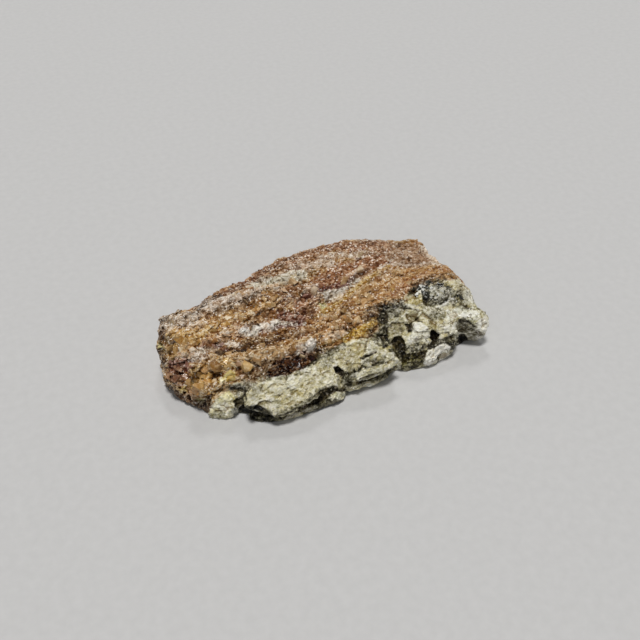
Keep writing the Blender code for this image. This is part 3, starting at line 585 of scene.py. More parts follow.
    # painted shade at the cave's rim
    ("cave rim", (0.055, 0.048, 0.022), 0.9, 0.5,
     ((261, 407), (267, 408), (274, 414), (279, 421), (270, 421))),
    ("above the cave", (0.36, 0.34, 0.22), 0.8, 0.7,
     ((264, 401), (274, 398), (284, 401), (280, 409), (269, 408))),
    ("arch, top", (0.050, 0.046, 0.034), 0.9, 0.5,
     ((226, 391), (231, 386), (239, 383), (246, 387), (247, 392), (240, 389), (232, 391))),
    # painted shade under the fourth face and under the pit
    ("under the fourth face", (0.060, 0.055, 0.038), 0.9, 0.6,
     ((449, 343), (459, 340), (462, 348), (452, 351))),
    ("under the pit", (0.070, 0.062, 0.040), 0.95, 0.5,
     ((424, 348), (430, 341), (440, 337), (448, 338), (443, 344), (433, 348))),
    ("crust by the chip", (0.62, 0.42, 0.22), 0.9, 0.7,
     ((353, 317), (361, 315), (366, 321), (362, 326), (354, 325))),
    ("tan over the slope", (0.42, 0.28, 0.16), 0.75, 0.8,
     ((289, 333), (297, 331), (303, 336), (298, 341), (290, 340))),
    ("brown under the rim", (0.13, 0.078, 0.05), 0.7, 0.9,
     ((228, 290), (240, 286), (243, 290), (236, 295), (229, 295))),
    ("amber low, bright", (0.8, 0.62, 0.36), 0.9, 0.8,
     ((188, 375), (198, 372), (204, 378), (198, 383), (190, 382))),
    ("band's upper rim", (0.05, 0.035, 0.018), 0.8, 0.7, ((390, 300), (404, 299), (405, 304), (392, 306))),
    # painted shade on the underside at the lower left, which faces away from the light
    ("low rim, left", (0.10, 0.055, 0.028), 0.8, 0.9,
     ((176, 388), (186, 392), (198, 400), (200, 408), (184, 402))),
    ("long block, grey top", (0.28, 0.26, 0.185), 0.8, 0.8, ((250, 383), (262, 384), (264, 392), (252, 393))),
    ("end rim, groove", (0.13, 0.125, 0.095), 0.8, 0.6,
     ((449, 297), (456, 296), (459, 303), (453, 306), (448, 302))),
    ("maroon slope, tan top", (0.42, 0.25, 0.14), 0.75, 0.8,
     ((285, 350), (295, 349), (297, 357), (287, 362), (281, 360))),
    ("under the far rim", (0.085, 0.06, 0.045), 0.75, 0.9, ((205, 301), (215, 294), (219, 297), (210, 305))),
    ("block, dashes", (0.085, 0.075, 0.034), 0.9, 1.1,
     ((429, 315), (437, 308), (443, 311), (445, 317), (438, 320))),
    ("right of crystals, low", (0.21, 0.20, 0.14), 0.85, 0.9,
     ((455, 307), (461, 300), (468, 304), (465, 311))),
    # patches of the crust, and crystals that show their outline
    ("slope, left end", (0.27, 0.165, 0.080), 0.85, 0.8,
     ((261, 367), (269, 360), (280, 358), (280, 365), (270, 372))),
    ("far brown", (0.23, 0.135, 0.085), 0.75, 0.9,
     ((254, 282), (264, 271), (280, 264), (297, 262), (297, 269), (281, 275), (266, 283))),
    # painted shade along the far rim at the left
    ("far rim, left", (0.065, 0.044, 0.032), 0.9, 0.9,
     ((195, 309), (204, 300), (214, 295), (223, 292), (222, 298), (210, 303), (200, 311))),
    ("left corner shade", (0.090, 0.046, 0.024), 0.85, 0.8,
     ((154, 325), (161, 322), (166, 331), (167, 340), (157, 342))),
    ("white under the rim", (0.60, 0.50, 0.42), 0.85, 0.8,
     ((209, 313), (217, 305), (228, 303), (230, 309), (219, 315))),
    ("cream by the ochre", (0.88, 0.70, 0.53), 0.85, 0.7,
     ((321, 340), (333, 331), (347, 329), (347, 335), (332, 340))),
    ("red by the ochre", (0.21, 0.105, 0.075), 0.85, 0.8,
     ((307, 303), (313, 296), (322, 294), (321, 301), (311, 306))),
    ("brown by the ochre", (0.1, 0.06, 0.018), 0.85, 0.9,
     ((357, 341), (364, 333), (373, 329), (375, 336), (366, 342))),
    # partly dark red crust, partly painted shade at the foot of the steep slope
    ("maroon foot", (0.045, 0.015, 0.004), 0.95, 0.4,
     ((295, 367), (302, 358), (310, 354), (313, 359), (305, 368))),
    ("tan notch", (0.56, 0.36, 0.23), 0.85, 0.8,
     ((202, 341), (209, 338), (217, 341), (213, 347), (205, 347))),
    ("pink, left", (0.58, 0.43, 0.33), 0.85, 0.8,
     ((177, 353), (183, 347), (194, 347), (195, 354), (184, 357))),
    ("tan slope end", (0.62, 0.41, 0.24), 0.85, 0.8,
     ((297, 336), (303, 329), (312, 329), (311, 337), (302, 340))),
    ("tan above the streak", (0.60, 0.40, 0.23), 0.85, 0.8,
     ((249, 323), (254, 315), (263, 314), (264, 320), (256, 323))),
    ("brown, left", (0.25, 0.14, 0.045), 0.85, 0.9,
     ((168, 346), (174, 340), (182, 342), (185, 348), (175, 350))),
    ("tan by the ochre", (0.68, 0.46, 0.26), 0.85, 0.8,
     ((311, 336), (321, 325), (331, 325), (329, 336), (318, 342))),
    ("pink in the wine", (0.36, 0.22, 0.15), 0.85, 0.8, ((305, 315), (311, 306), (319, 308), (315, 317))),
    ("pink rim", (0.50, 0.35, 0.25), 0.8, 0.7, ((371, 250), (378, 243), (389, 243), (389, 249))),
    ("brown slope top", (0.44, 0.27, 0.155), 0.85, 0.8, ((275, 362), (281, 356), (291, 354), (289, 361))),
    ("brown by the band", (0.060, 0.030, 0.012), 0.95, 0.7,
     ((365, 313), (371, 306), (379, 304), (380, 316), (370, 317))),
    ("pink window", (0.80, 0.56, 0.43), 0.9, 0.5,
     ((293, 304), (297, 298), (305, 298), (308, 305), (301, 310), (294, 309))),
    ("pink by the wine", (0.9, 0.74, 0.6), 0.9, 0.6,
     ((216, 336), (221, 331), (230, 333), (229, 340), (220, 342))),
    ("tan by the wine", (0.66, 0.43, 0.24), 0.9, 0.8,
     ((263, 312), (270, 307), (279, 311), (277, 319), (266, 320))),
    ("amber by the wine", (0.66, 0.44, 0.18), 0.9, 0.7,
     ((186, 373), (194, 367), (204, 364), (212, 363), (218, 374), (212, 382), (194, 383))),
    ("left rim shade", (0.055, 0.03, 0.012), 0.9, 0.8,
     ((153, 347), (160, 344), (165, 355), (168, 368), (163, 368), (156, 358))),
    ("low rim shade", (0.06, 0.032, 0.014), 0.9, 0.8,
     ((166, 378), (174, 383), (183, 391), (180, 396), (170, 390), (164, 383))),
    ("crust by the block", (0.105, 0.058, 0.022), 0.8, 0.9,
     ((360, 317), (366, 309), (376, 303), (380, 312), (380, 330), (372, 338), (364, 340), (368, 328))),
    # painted shade on the underside left of the knob
    ("brown by the knob", (0.085, 0.043, 0.017), 0.9, 0.7,
     ((199, 401), (208, 397), (214, 402), (209, 413), (202, 412))),
    ("brown edge", (0.075, 0.042, 0.02), 0.95, 0.9,
     ((406, 291), (418, 283), (430, 277), (443, 276), (450, 280), (438, 284), (426, 287), (414, 292))),
    ("white crystal, foot", (0.72, 0.56, 0.44), 0.85, 0.6,
     ((302, 350), (309, 346), (316, 348), (314, 355), (306, 357))),
    ("right rim, white", (0.84, 0.73, 0.64), 0.9, 0.7,
     ((419, 246), (425, 243), (434, 255), (442, 265), (434, 265), (426, 255))),
    ("pale, above the wine", (0.68, 0.52, 0.39), 0.85, 0.8,
     ((269, 287), (279, 282), (289, 286), (283, 294), (272, 293))),
    ("red, above the wine", (0.19, 0.085, 0.042), 0.85, 0.8,
     ((281, 297), (290, 292), (297, 296), (291, 303), (283, 303))),
    ("pits, above the streak", (0.065, 0.031, 0.02), 0.85, 1.0,
     ((244, 326), (251, 322), (258, 325), (254, 331), (246, 331))),
    # partly the crust's own dark red, partly painted shade on the steep face below the crest
    ("maroon slope", (0.048, 0.012, 0.001), 0.95, 0.6,
     ((268, 373), (272, 363), (280, 359), (292, 355), (304, 350), (314, 354), (311, 361), (303, 369),
      (290, 374), (268, 378))),
    ("maroon slope, left", (0.25, 0.14, 0.065), 0.8, 1.2,
     ((244, 372), (254, 368), (266, 366), (266, 378), (256, 382), (246, 382))),
    ("white crust, dark bits", DARK_BROWN, 0.45, 1.3,
     ((160, 320), (176, 314), (200, 309), (212, 312), (196, 322), (176, 327), (162, 330))),
    ("brown crystal", (0.24, 0.12, 0.04), 0.9, 0.3,
     ((207, 366), (212, 361), (219, 363), (223, 371), (216, 373), (209, 371))),
    ("brown crystal, low", (0.3, 0.17, 0.055), 1.0, 0.3,
     ((208, 371), (214, 369), (223, 372), (222, 378), (213, 376))),
    ("amber crystal", (0.58, 0.39, 0.17), 0.9, 0.3,
     ((219, 361), (228, 358), (234, 364), (231, 371), (224, 371))),
    ("amber crystal, white", BRIGHT_WHITE, 0.9, 0.4, ((226, 366), (229, 364), (230, 370), (227, 371))),
    ("dark between crystals", (0.060, 0.028, 0.012), 0.9, 0.5,
     ((234, 361), (238, 359), (240, 368), (236, 371))),
    ("tan crystal", (0.8, 0.62, 0.36), 0.9, 0.3,
     ((240, 362), (249, 360), (256, 366), (250, 371), (241, 369))),
    ("tan crystal's edge", (0.060, 0.028, 0.010), 1.0, 0.2, ((250, 358), (259, 367), (257, 368), (249, 361))),
    ("yellow bead", (0.88, 0.78, 0.45), 1.0, 0.2,
     ((219, 378), (225, 377), (227, 382), (222, 385), (219, 382))),
    ("yellow bead, right", (0.70, 0.52, 0.14), 1.0, 0.3, ((226, 373), (231, 374), (230, 381), (227, 380))),
    # the white crystal: partly its own white, partly a painted highlight
    ("white crystal", (0.92, 0.85, 0.81), 1.0, 0.4,
     ((304, 349), (306, 342), (311, 338), (315, 343), (314, 350), (308, 353))),
    ("window crystal", (0.22, 0.12, 0.055), 0.8, 0.5, ((340, 306), (349, 304), (351, 314), (343, 317))),
    ("window crystal, glass", (0.42, 0.27, 0.14), 0.9, 0.2, ((343, 307), (348, 306), (349, 313), (345, 314))),
    ("green bead", (0.52, 0.50, 0.24), 0.95, 0.4, ((319, 303), (325, 301), (327, 308), (321, 311))),
    ("ochre vein", (0.33, 0.17, 0.030), 0.85, 0.4,
     ((313, 318), (324, 310), (338, 302), (342, 304), (330, 313), (318, 320))),
    ("ochre vein, thin", (0.42, 0.25, 0.065), 0.85, 0.4,
     ((338, 302), (352, 288), (366, 279), (368, 281), (354, 292), (342, 304))),
    ("ochre low", (0.66, 0.44, 0.11), 0.9, 0.5,
     ((345, 336), (356, 330), (366, 325), (374, 321), (372, 327), (358, 335), (348, 340))),
    ("ochre low, left", (0.30, 0.17, 0.045), 0.8, 0.7,
     ((318, 344), (330, 340), (344, 337), (346, 340), (330, 345), (318, 350))),
    ("outlined crystal", (0.40, 0.25, 0.12), 0.7, 0.5, ((373, 274), (380, 270), (387, 272), (382, 279))),
    ("tan by the white crystal", (0.8, 0.66, 0.55), 0.9, 0.8,
     ((296, 345), (303, 344), (304, 352), (300, 357), (295, 353))),
    ("under the pocket", (0.26, 0.24, 0.16), 0.85, 0.8,
     ((421, 303), (432, 302), (436, 308), (430, 314), (421, 311))),
    ("block, under the band", (0.10, 0.09, 0.055), 0.75, 0.9,
     ((386, 306), (402, 304), (406, 310), (396, 316), (386, 316))),
    ("tan above the wine", (0.85, 0.66, 0.44), 0.85, 0.8, ((180, 345), (192, 344), (194, 352), (184, 355))),
    ("tan on the shelf", (0.62, 0.43, 0.24), 0.75, 0.9, ((359, 291), (372, 289), (374, 297), (363, 301))),
    ("amber left, light", (0.72, 0.50, 0.24), 0.8, 0.8, ((188, 338), (200, 337), (202, 344), (192, 347))),
    ("brown over the streak", (0.17, 0.085, 0.045), 0.8, 0.9,
     ((284, 292), (296, 291), (298, 299), (287, 302))),
    ("white above the amber", (0.75, 0.62, 0.50), 0.8, 0.9, ((232, 302), (246, 300), (248, 309), (236, 312))),
    ("tan, low", (0.66, 0.5, 0.31), 0.85, 0.8, ((215, 384), (226, 383), (228, 390), (218, 392))),
    ("far tan, left", (0.66, 0.50, 0.38), 0.8, 0.9, ((200, 310), (213, 308), (215, 317), (204, 320))),
    ("shelf, brown", (0.33, 0.185, 0.085), 0.7, 0.9, ((380, 270), (394, 268), (396, 278), (384, 281))),
    ("block, pale olive", (0.33, 0.30, 0.19), 0.8, 0.8, ((405, 314), (418, 313), (419, 321), (408, 323))),
    ("amber by the left rim", (0.50, 0.34, 0.15), 0.8, 0.8, ((163, 350), (174, 349), (176, 358), (166, 360))),
    ("wedge, foot", (0.10, 0.095, 0.075), 0.85, 0.7, ((457, 332), (464, 332), (464, 338), (458, 339))),
    # painted shade on the underside at the lower left
    ("low rim, right", (0.045, 0.020, 0.008), 0.8, 0.9, ((196, 402), (208, 403), (210, 409), (200, 409))),
    ("tan by the brown crystal", (0.70, 0.50, 0.25), 0.85, 0.8,
     ((228, 361), (238, 360), (240, 368), (231, 370))),
    ("nose, cream", (0.80, 0.74, 0.50), 0.85, 0.7, ((352, 343), (362, 342), (364, 349), (354, 351))),
    ("tan on the far rib", (0.60, 0.42, 0.30), 0.75, 0.9, ((355, 268), (368, 266), (370, 275), (358, 278))),
    ("tan under the ridge", (0.62, 0.43, 0.29), 0.75, 0.9, ((305, 306), (317, 305), (319, 314), (308, 316))),
    ("grey white, far end", (0.80, 0.68, 0.60), 0.75, 0.9, ((305, 287), (318, 285), (319, 293), (307, 296))),
    ("streak's far end, white", (0.88, 0.80, 0.74), 0.8, 0.9,
     ((261, 325), (272, 323), (274, 331), (263, 333))),
    ("grey white, chip", (0.80, 0.70, 0.58), 0.75, 0.8, ((330, 295), (341, 293), (343, 300), (333, 303))),
    # painted shade on the left end's face
    ("far rim, left end", (0.06, 0.036, 0.016), 0.85, 0.8, ((152, 349), (160, 348), (163, 358), (155, 361))),
    ("far tan, middle", (0.60, 0.42, 0.27), 0.75, 0.9, ((254, 311), (268, 308), (270, 316), (256, 319))),
    ("far tan, right", (0.66, 0.46, 0.32), 0.75, 0.9, ((289, 284), (301, 283), (303, 291), (291, 293))),
    ("amber low, left", (0.70, 0.52, 0.25), 0.8, 0.8, ((184, 382), (194, 381), (197, 388), (187, 391))),
    ("brown on the rib", (0.20, 0.12, 0.06), 0.75, 0.9, ((254, 345), (266, 343), (268, 350), (256, 353))),
    ("wine, low", (0.09, 0.04, 0.022), 0.8, 0.9,
     ((170, 374), (180, 373), (184, 381), (176, 386), (171, 381))),
)


# ---------------------------------------------------------------- lines and outlines
def along(points_px):
    """Points in mm close together along a line on the rock, given by frame pixels."""
    corners = [np.array(corner, float) for corner in points_px]
    line = []
    for start, end in zip(corners[:-1], corners[1:]):
        count = max(2, int(np.linalg.norm(end - start) / LINE_STEP_PX))
        for share in np.linspace(0, 1, count, endpoint=False):
            line.append(on_rock(start + (end - start) * share))
    line.append(on_rock(corners[-1]))
    return np.array(line)


def offset_from(points, start, end):
    """Each point's offset from the nearest place on the stretch between two ends."""
    run = end - start
    share = np.clip((points - start) @ run / max(run @ run, 1e-9), 0.0, 1.0)
    return points - (start + share[:, None] * run)


def distance_to(points, line):
    """Distance of each point to a line of 3-D points."""
    best = np.full(len(points), np.inf)
    for start, end in zip(line[:-1], line[1:]):
        best = np.minimum(best, np.linalg.norm(offset_from(points, start, end), axis=1))
    return best


def side_of(points, line):
    """Signed distance in plan: above 0 to the left of a plan line."""
    best = np.full(len(points), np.inf)
    sign = np.ones(len(points))
    for start, end in zip(line[:-1], line[1:]):
        run = end - start
        offset = offset_from(points[:, :2], start, end)
        gap = np.hypot(offset[:, 0], offset[:, 1])
        cross = run[0] * offset[:, 1] - run[1] * offset[:, 0]
        nearer = gap < best
        best = np.where(nearer, gap, best)
        sign = np.where(nearer, np.where(cross >= 0, 1.0, -1.0), sign)
    return best * sign


def depth_inside(pixels, corners):
    """How far each pixel lies inside a many-cornered outline; below 0 outside it."""
    corners = np.array(corners, float)
    gap = np.full(len(pixels), np.inf)
    inside = np.zeros(len(pixels), bool)
    for start, end in zip(corners, np.roll(corners, -1, 0)):
        run = end - start
        gap = np.minimum(gap, np.linalg.norm(offset_from(pixels, start, end), axis=1))
        if start[1] != end[1]:
            spans = (start[1] > pixels[:, 1]) != (end[1] > pixels[:, 1])
            crossing = start[0] + (pixels[:, 1] - start[1]) * run[0] / run[1]
            inside ^= spans & (pixels[:, 0] < crossing)
    return np.where(inside, gap, -gap)


def in_box(places, corners, margin):
    """Which places lie within a margin of the box round some corners."""
    low, high = np.min(corners, axis=0) - margin, np.max(corners, axis=0) + margin
    return np.all((places > low) & (places < high), axis=1)


def seen_at(points):
    """Frame pixels of points, and whether the camera sees each, or something just in front of it."""
    ray = points - EYE
    depth = -(ray @ BACK)
    across = IMAGE / 2 + FOCAL_PX * (ray @ RIGHT) / depth
    down = IMAGE / 2 - FOCAL_PX * (ray @ UP) / depth
    seen = np.zeros(len(points), bool)
    for index, way in enumerate(ray):
        reach = np.linalg.norm(way)
        hit = tree.ray_cast(Vector(EYE), Vector(way / reach), reach + 5.0)[3]
        seen[index] = hit is None or hit > reach - SIGHT_SLACK
    return np.stack([across, down], 1), seen


# The seam in plan, in mm, carried on beyond both ends.
SEAM = np.array([on_rock(px)[:2] for px in SEAM_PX])
SEAM = np.vstack([SEAM[0] + (-1.0, -8.0), SEAM, SEAM[-1] + (1.5, 0.6), SEAM[-1] + (8.0, 2.0)])
LINES = [(colour, width, strength, ragged, along(px)) for _, colour, width, strength, ragged, px in STREAKS]


# ---------------------------------------------------------------- painting
def pale_share(points, pixels, seen):
    """1 on the pale rock and 0 on the crust. The seam wanders where the photograph doesn't show it."""
    signed = side_of(points, SEAM)
    in_view = seen & (pixels[:, 0] > SEAM_PX[0][0]) & (pixels[:, 0] < SEAM_PX[-1][0])
    line = np.array(SEAM_PX, float)
    up_image = side_of(pixels[in_view] * (1.0, -1.0), line * (1.0, -1.0))
    signed[in_view] = up_image * MM_PER_PX
    hidden = points[~in_view]
    signed[~in_view] += 1.3 * noise_at(hidden, 2.4, 8.0, 3) + 0.3 * (hidden[:, 2] - 6.0)
    signed = signed + 0.16 * noise_at(points, 0.7, 5.0, 2)
    return smooth_step(0.5 - signed / SEAM_WIDTH)


def mixed(colours, colour, weight):
    return colours * (1 - weight[:, None]) + np.array(colour) * weight[:, None]


def layered(base, layers):
    """A colour with others over it. Each has its noise, where in it the colour starts, how fast, how much."""
    colours = np.tile(np.array(base), (len(layers[0][1]), 1))
    for colour, values, start, slope, share in layers:
        colours = mixed(colours, colour, smooth_step(start + slope * values) * share)
    return colours


def grainy(weight, ragged, contrast, share, grain_value):
    """A patch's weight, partly broken up into whole grains."""
    speckled = smooth_step((weight * contrast - grain_value) / 0.2)
    return weight * (1 - share * ragged) + speckled * share * ragged


def tint_at(points, pale, pixels, seen):
    """The stone's colour at points of its skin, in mm."""
    wide = noise_at(points * (0.35, 1.0, 1.0), 2.6, 1.0, 3)
    middling = noise_at(points * (0.5, 1.0, 1.0), 1.2, 2.0, 3)
    fine = noise_at(points, 0.45, 3.0, 2)
    chalky = noise_at(points * (0.5, 1, 1), 1.6, 4.0, 3)
    mossy = noise_at(points, 0.9, 6.0, 3)
    crust = layered(TAN, (
        (RED_TAN, wide, 0.35, 1.2, 0.55),
        (OCHRE, middling, -0.3, 1.6, 0.45),
        (CRUST_WHITE, chalky, -0.60, 1.5, 0.5),
        (BROWN, fine, -0.35, 1.5, 0.5),
    ))
    stone = layered(PALE, (
        (PALE_WHITE, middling, 0.1, 1.4, 0.6),
        (PALE_YELLOW, wide, -0.2, 1.4, 0.5),
        (PALE_GREY, fine, -0.35, 1.5, 0.6),
        (OLIVE, mossy, -0.75, 1.6, 0.8),
    ))
    colours = crust * (1 - pale[:, None]) + stone * pale[:, None]
    grain_value = hash_of(cells_at(points * (0.85, 1, 1), 0.27, 9.0)[1], 33)
    for index, (colour, width, strength, ragged, line) in enumerate(LINES):
        near = in_box(points, line, width * 2.5)
        if not near.any():
            continue
        some = points[near]
        wobble = noise_at(some, 0.55, 10.0 + index % STREAK_NOISES, 2) * ragged
        gap = distance_to(some, line) / width + wobble * 0.9
        weight = smooth_step((1.3 - gap) / 0.6)
        weight = strength * grainy(weight, ragged, 1.35 - 0.55 * ragged, 0.4, grain_value[near])
        colours[near] = mixed(colours[near], colour, weight)
    wobble = noise_at(points, 0.5, 21.0, 2)
    for _, colour, strength, ragged, corners in PATCHES:
        near = seen & in_box(pixels, corners, PATCH_MARGIN)
        if not near.any():
            continue
        depth = depth_inside(pixels[near], corners) + 2.5 * ragged * wobble[near]
        weight = smooth_step(0.5 + depth / 1.6)
        weight = strength * grainy(weight, ragged, 1.3 - 0.7 * min(ragged, 1.0), 0.6, grain_value[near])
        colours[near] = mixed(colours[near], colour, weight)
    return colours * WARMTH


# ---------------------------------------------------------------- relief of the skin
# How far named patches are sunk into the rock (or stand out, if negative), in mm.
DENTS = {
    "cave": 0.25,
    "knob's arch": 0.12,
    "right of knob": 0.35,
    "lip recess": 0.3,
    "low strip's seam": 0.2,
    "crack": 0.3,
    "nose split": 0.3,
    "nose underside": 0.25,
    "nose lip": -0.15,
    "black band": 0.2,
    "block's dark end": 0.2,
    "block, olive": 0.25,
    "block, pale olive": 0.25,
    "block, upper pit": 0.35,
    "olive pit": 0.45,
    "shaded olive flank": 0.2,
    "white facet": -0.15,
    "three-cornered pit": 0.5,
    "block, fourth face, dark": 0.2,
    "block, white low": -0.12,
    "block, low gap": 0.4,
    "wedge": 0.1,
    "wedge, black": 0.5,
    "crystal patch, dark": 0.25,
    "crescent": -0.2,
    "right of crystals, dark": 0.2,
    "dark between crystals": 0.3,
    "brown crystal, low": 0.2,
    "white crystal": -0.2,
}

SHELF_X = 1.0  # mm; right of this the crust gets calmer
SHELF_RUN = 5.0  # mm over which it does
SHELF_CALM = 0.50
BROKEN_X = on_rock((384, 330))[0]  # mm; the pale rock beyond is split and blocky
CALM_X = on_rock((398, 262))[0]  # mm; the crust beyond is finer and more even
BAND = np.array([0.42, 1.0, 1.0])  # grains and bands are drawn out along the slice

# Facets: share kept along the slice, size in mm, seed, height in mm and tilt.
GRAINS = (0.85, 0.90, 1.0, 0.11, 0.42)
SMALL_GRAINS = (1.0, 0.42, 2.0, 0.07, 0.34)
FLAKES = (0.55, 1.45, 3.0, 0.12, 0.36)
LESSER_FLAKES = (0.7, 0.62, 4.0, 0.09, 0.40)
BLOCKS = (0.8, 3.0, 5.0, 0.12, 0.26)

# Folds of the crust: name, height in mm, half width in mm, frame pixels.
FOLDS = (
    ("front ridge", 0.30, 1.0, ((214, 364), (240, 356), (262, 352), (286, 347), (308, 341))),
    ("behind the front ridge", -0.40, 0.9, ((222, 351), (250, 345), (275, 340), (300, 334), (324, 327))),
    ("streak terrace", 0.30, 0.8, ((230, 331), (256, 326), (280, 321), (300, 317))),
    ("wine hollow", -0.40, 1.0, ((268, 314), (290, 318), (308, 312))),
    ("wine hollow, upper", -0.30, 0.6, ((298, 304), (306, 295), (322, 288), (346, 283), (368, 270))),
    ("ochre ridge", 0.30, 0.7, ((320, 315), (342, 300), (365, 281), (390, 267))),
    ("below the ochre ridge", -0.30, 0.8, ((336, 319), (352, 306), (374, 290))),
    ("amber crest", 0.15, 1.2, ((168, 338), (190, 335), (214, 331))),
    ("left hollow", -0.20, 1.1, ((168, 352), (184, 350), (206, 346), (224, 340))),
    ("pink crest", 0.15, 0.9, ((176, 358), (192, 355), (206, 357))),
    ("wine left hollow", -0.20, 1.0, ((172, 368), (186, 373), (202, 372))),
    ("crust crest, far", 0.20, 0.9, ((206, 303), (240, 293), (276, 280), (320, 264))),
    ("under the far crest", -0.25, 0.8, ((210, 316), (240, 306), (276, 294), (300, 286))),
    ("rust hollow", -0.30, 0.7, ((340, 328), (356, 326), (372, 316))),
)


def folded(points):
    """How far each point of the crust is raised by the folds."""
    total = np.zeros(len(points))
    for _, height, width, pixels in FOLDS:
        line = along(pixels)
        near = in_box(points, line, 3 * width)
        gap = distance_to(points[near], line) / width
        total[near] += height * np.exp(-gap * gap)
    return total


def dented(pixels, seen):
    """How far each point is sunk by the dents it lies in."""
    total = np.zeros(len(pixels))
    for name, _, _, _, corners in PATCHES:
        if name in DENTS:
            near = seen & in_box(pixels, corners, PATCH_MARGIN)
            total[near] += DENTS[name] * smooth_step(0.4 + depth_inside(pixels[near], corners) / 2.6)
    return total


def faceted(points, along_slice, size, seed, level, tilt):
    """Height of a surface broken into flat tilted grains about size mm across, and the gap to the next."""
    drawn_out = points * (along_slice, 1.0, 1.0)
    middle, ident, gap = cells_at(drawn_out, size, seed)
    lean = hashes_of(ident, (seed + 11, seed + 12, seed + 13)) - 0.5
    height = level * (hash_of(ident, seed + 14) - 0.5)
    return height + tilt * np.einsum("ij,ij->i", lean, drawn_out - middle), gap


def coarseness(points):
    """The crust's grain is coarse at the left and gets finer on the shelf at the right."""
    return 1.0 - SHELF_CALM * smooth_step((points[:, 0] - SHELF_X) / SHELF_RUN)


def crust_height(points):
    """Relief of the crust: grains, ridges along the bands, small pits and the folds."""
    grains, gap = faceted(points, *GRAINS)
    small, _ = faceted(points, *SMALL_GRAINS)
    ridges = 0.15 * noise_at(points * BAND, 0.75, 7.0, 3) + 0.14 * noise_at(points * BAND, 1.9, 8.0, 2)
    pits = -0.22 * smooth_step((noise_at(points * (0.7, 1, 1), 0.8, 14.0, 2) - 0.30) / 0.35)
    height = grains + small + ridges + pits - 0.06 * smooth_step(1 - gap / 0.10)
    return height * coarseness(points) + folded(points)


def pale_height(points):
    """Relief of the pale rock: flakes and thin strata, and blocks where it is broken."""
    flakes, crease = faceted(points, *FLAKES)
    lesser, _ = faceted(points, *LESSER_FLAKES)
    blocks, joint = faceted(points, *BLOCKS)
    strata = (0.55 * points[:, 1] - points[:, 2] + 0.05 * points[:, 0]) / 0.75
    strata = strata + 0.7 * noise_at(points, 2.0, 9.0, 2)
    step = strata - np.floor(strata)
    broken = smooth_step((points[:, 0] - BROKEN_X) / 1.2)
    flakes = flakes * (1 - 0.6 * broken) + (blocks - 0.05 * smooth_step(1 - joint / 0.12)) * broken
    lesser = lesser * (1 - 0.5 * broken)
    return flakes + lesser + 0.10 * (step - 0.5) - 0.015 * smooth_step(1 - crease / 0.12)


def relieved(mesh):
    """Raises the skin. Gives its bare points, their relief shading and paleness, their pixels, and which are
    seen.
    """
    points = points_of(mesh)
    normals = vectors_of(mesh, "normal")
    pixels, seen = seen_at(points)
    pale = pale_share(points, pixels, seen)
    height = crust_height(points) * (1 - pale) + pale_height(points) * pale
    height = height - dented(pixels, seen)
    height *= smooth_step((points[:, 2] - 0.05) / 0.5)
    set_points(mesh, points + normals * height[:, None])
    rounded = points_of(modified(mesh.copy(), "SMOOTH", iterations=24, factor=0.9))
    crest = np.einsum("ij,ij->i", points_of(mesh) - rounded, normals)
    # relief shading: low in hollows, high on crests; the stone's colour takes painted shade and painted light
    # from it
    relief_shading = np.clip(0.5 + np.clip(height, -0.3, 0.3) / 0.9 + crest / 0.5, 0.0, 1.0)
    return points, relief_shading, pale, pixels, seen


def store(mesh, name, values, kind="FLOAT"):
    layer = mesh.attributes.new(name, kind, "POINT")
    if kind == "FLOAT_COLOR":
        rgba = np.ones((len(values), 4), np.float32)
        rgba[:, :3] = values
        layer.data.foreach_set("color", rgba.ravel())
    else:
        layer.data.foreach_set("value", np.asarray(values, np.float32))


def add_piece(name, mesh, materials):
    set_points(mesh, points_of(mesh) * MM)
    mesh.materials.clear()
    for material in materials:
        mesh.materials.append(material)
    piece = add_object(name, mesh)
    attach(piece, "root")
    return piece


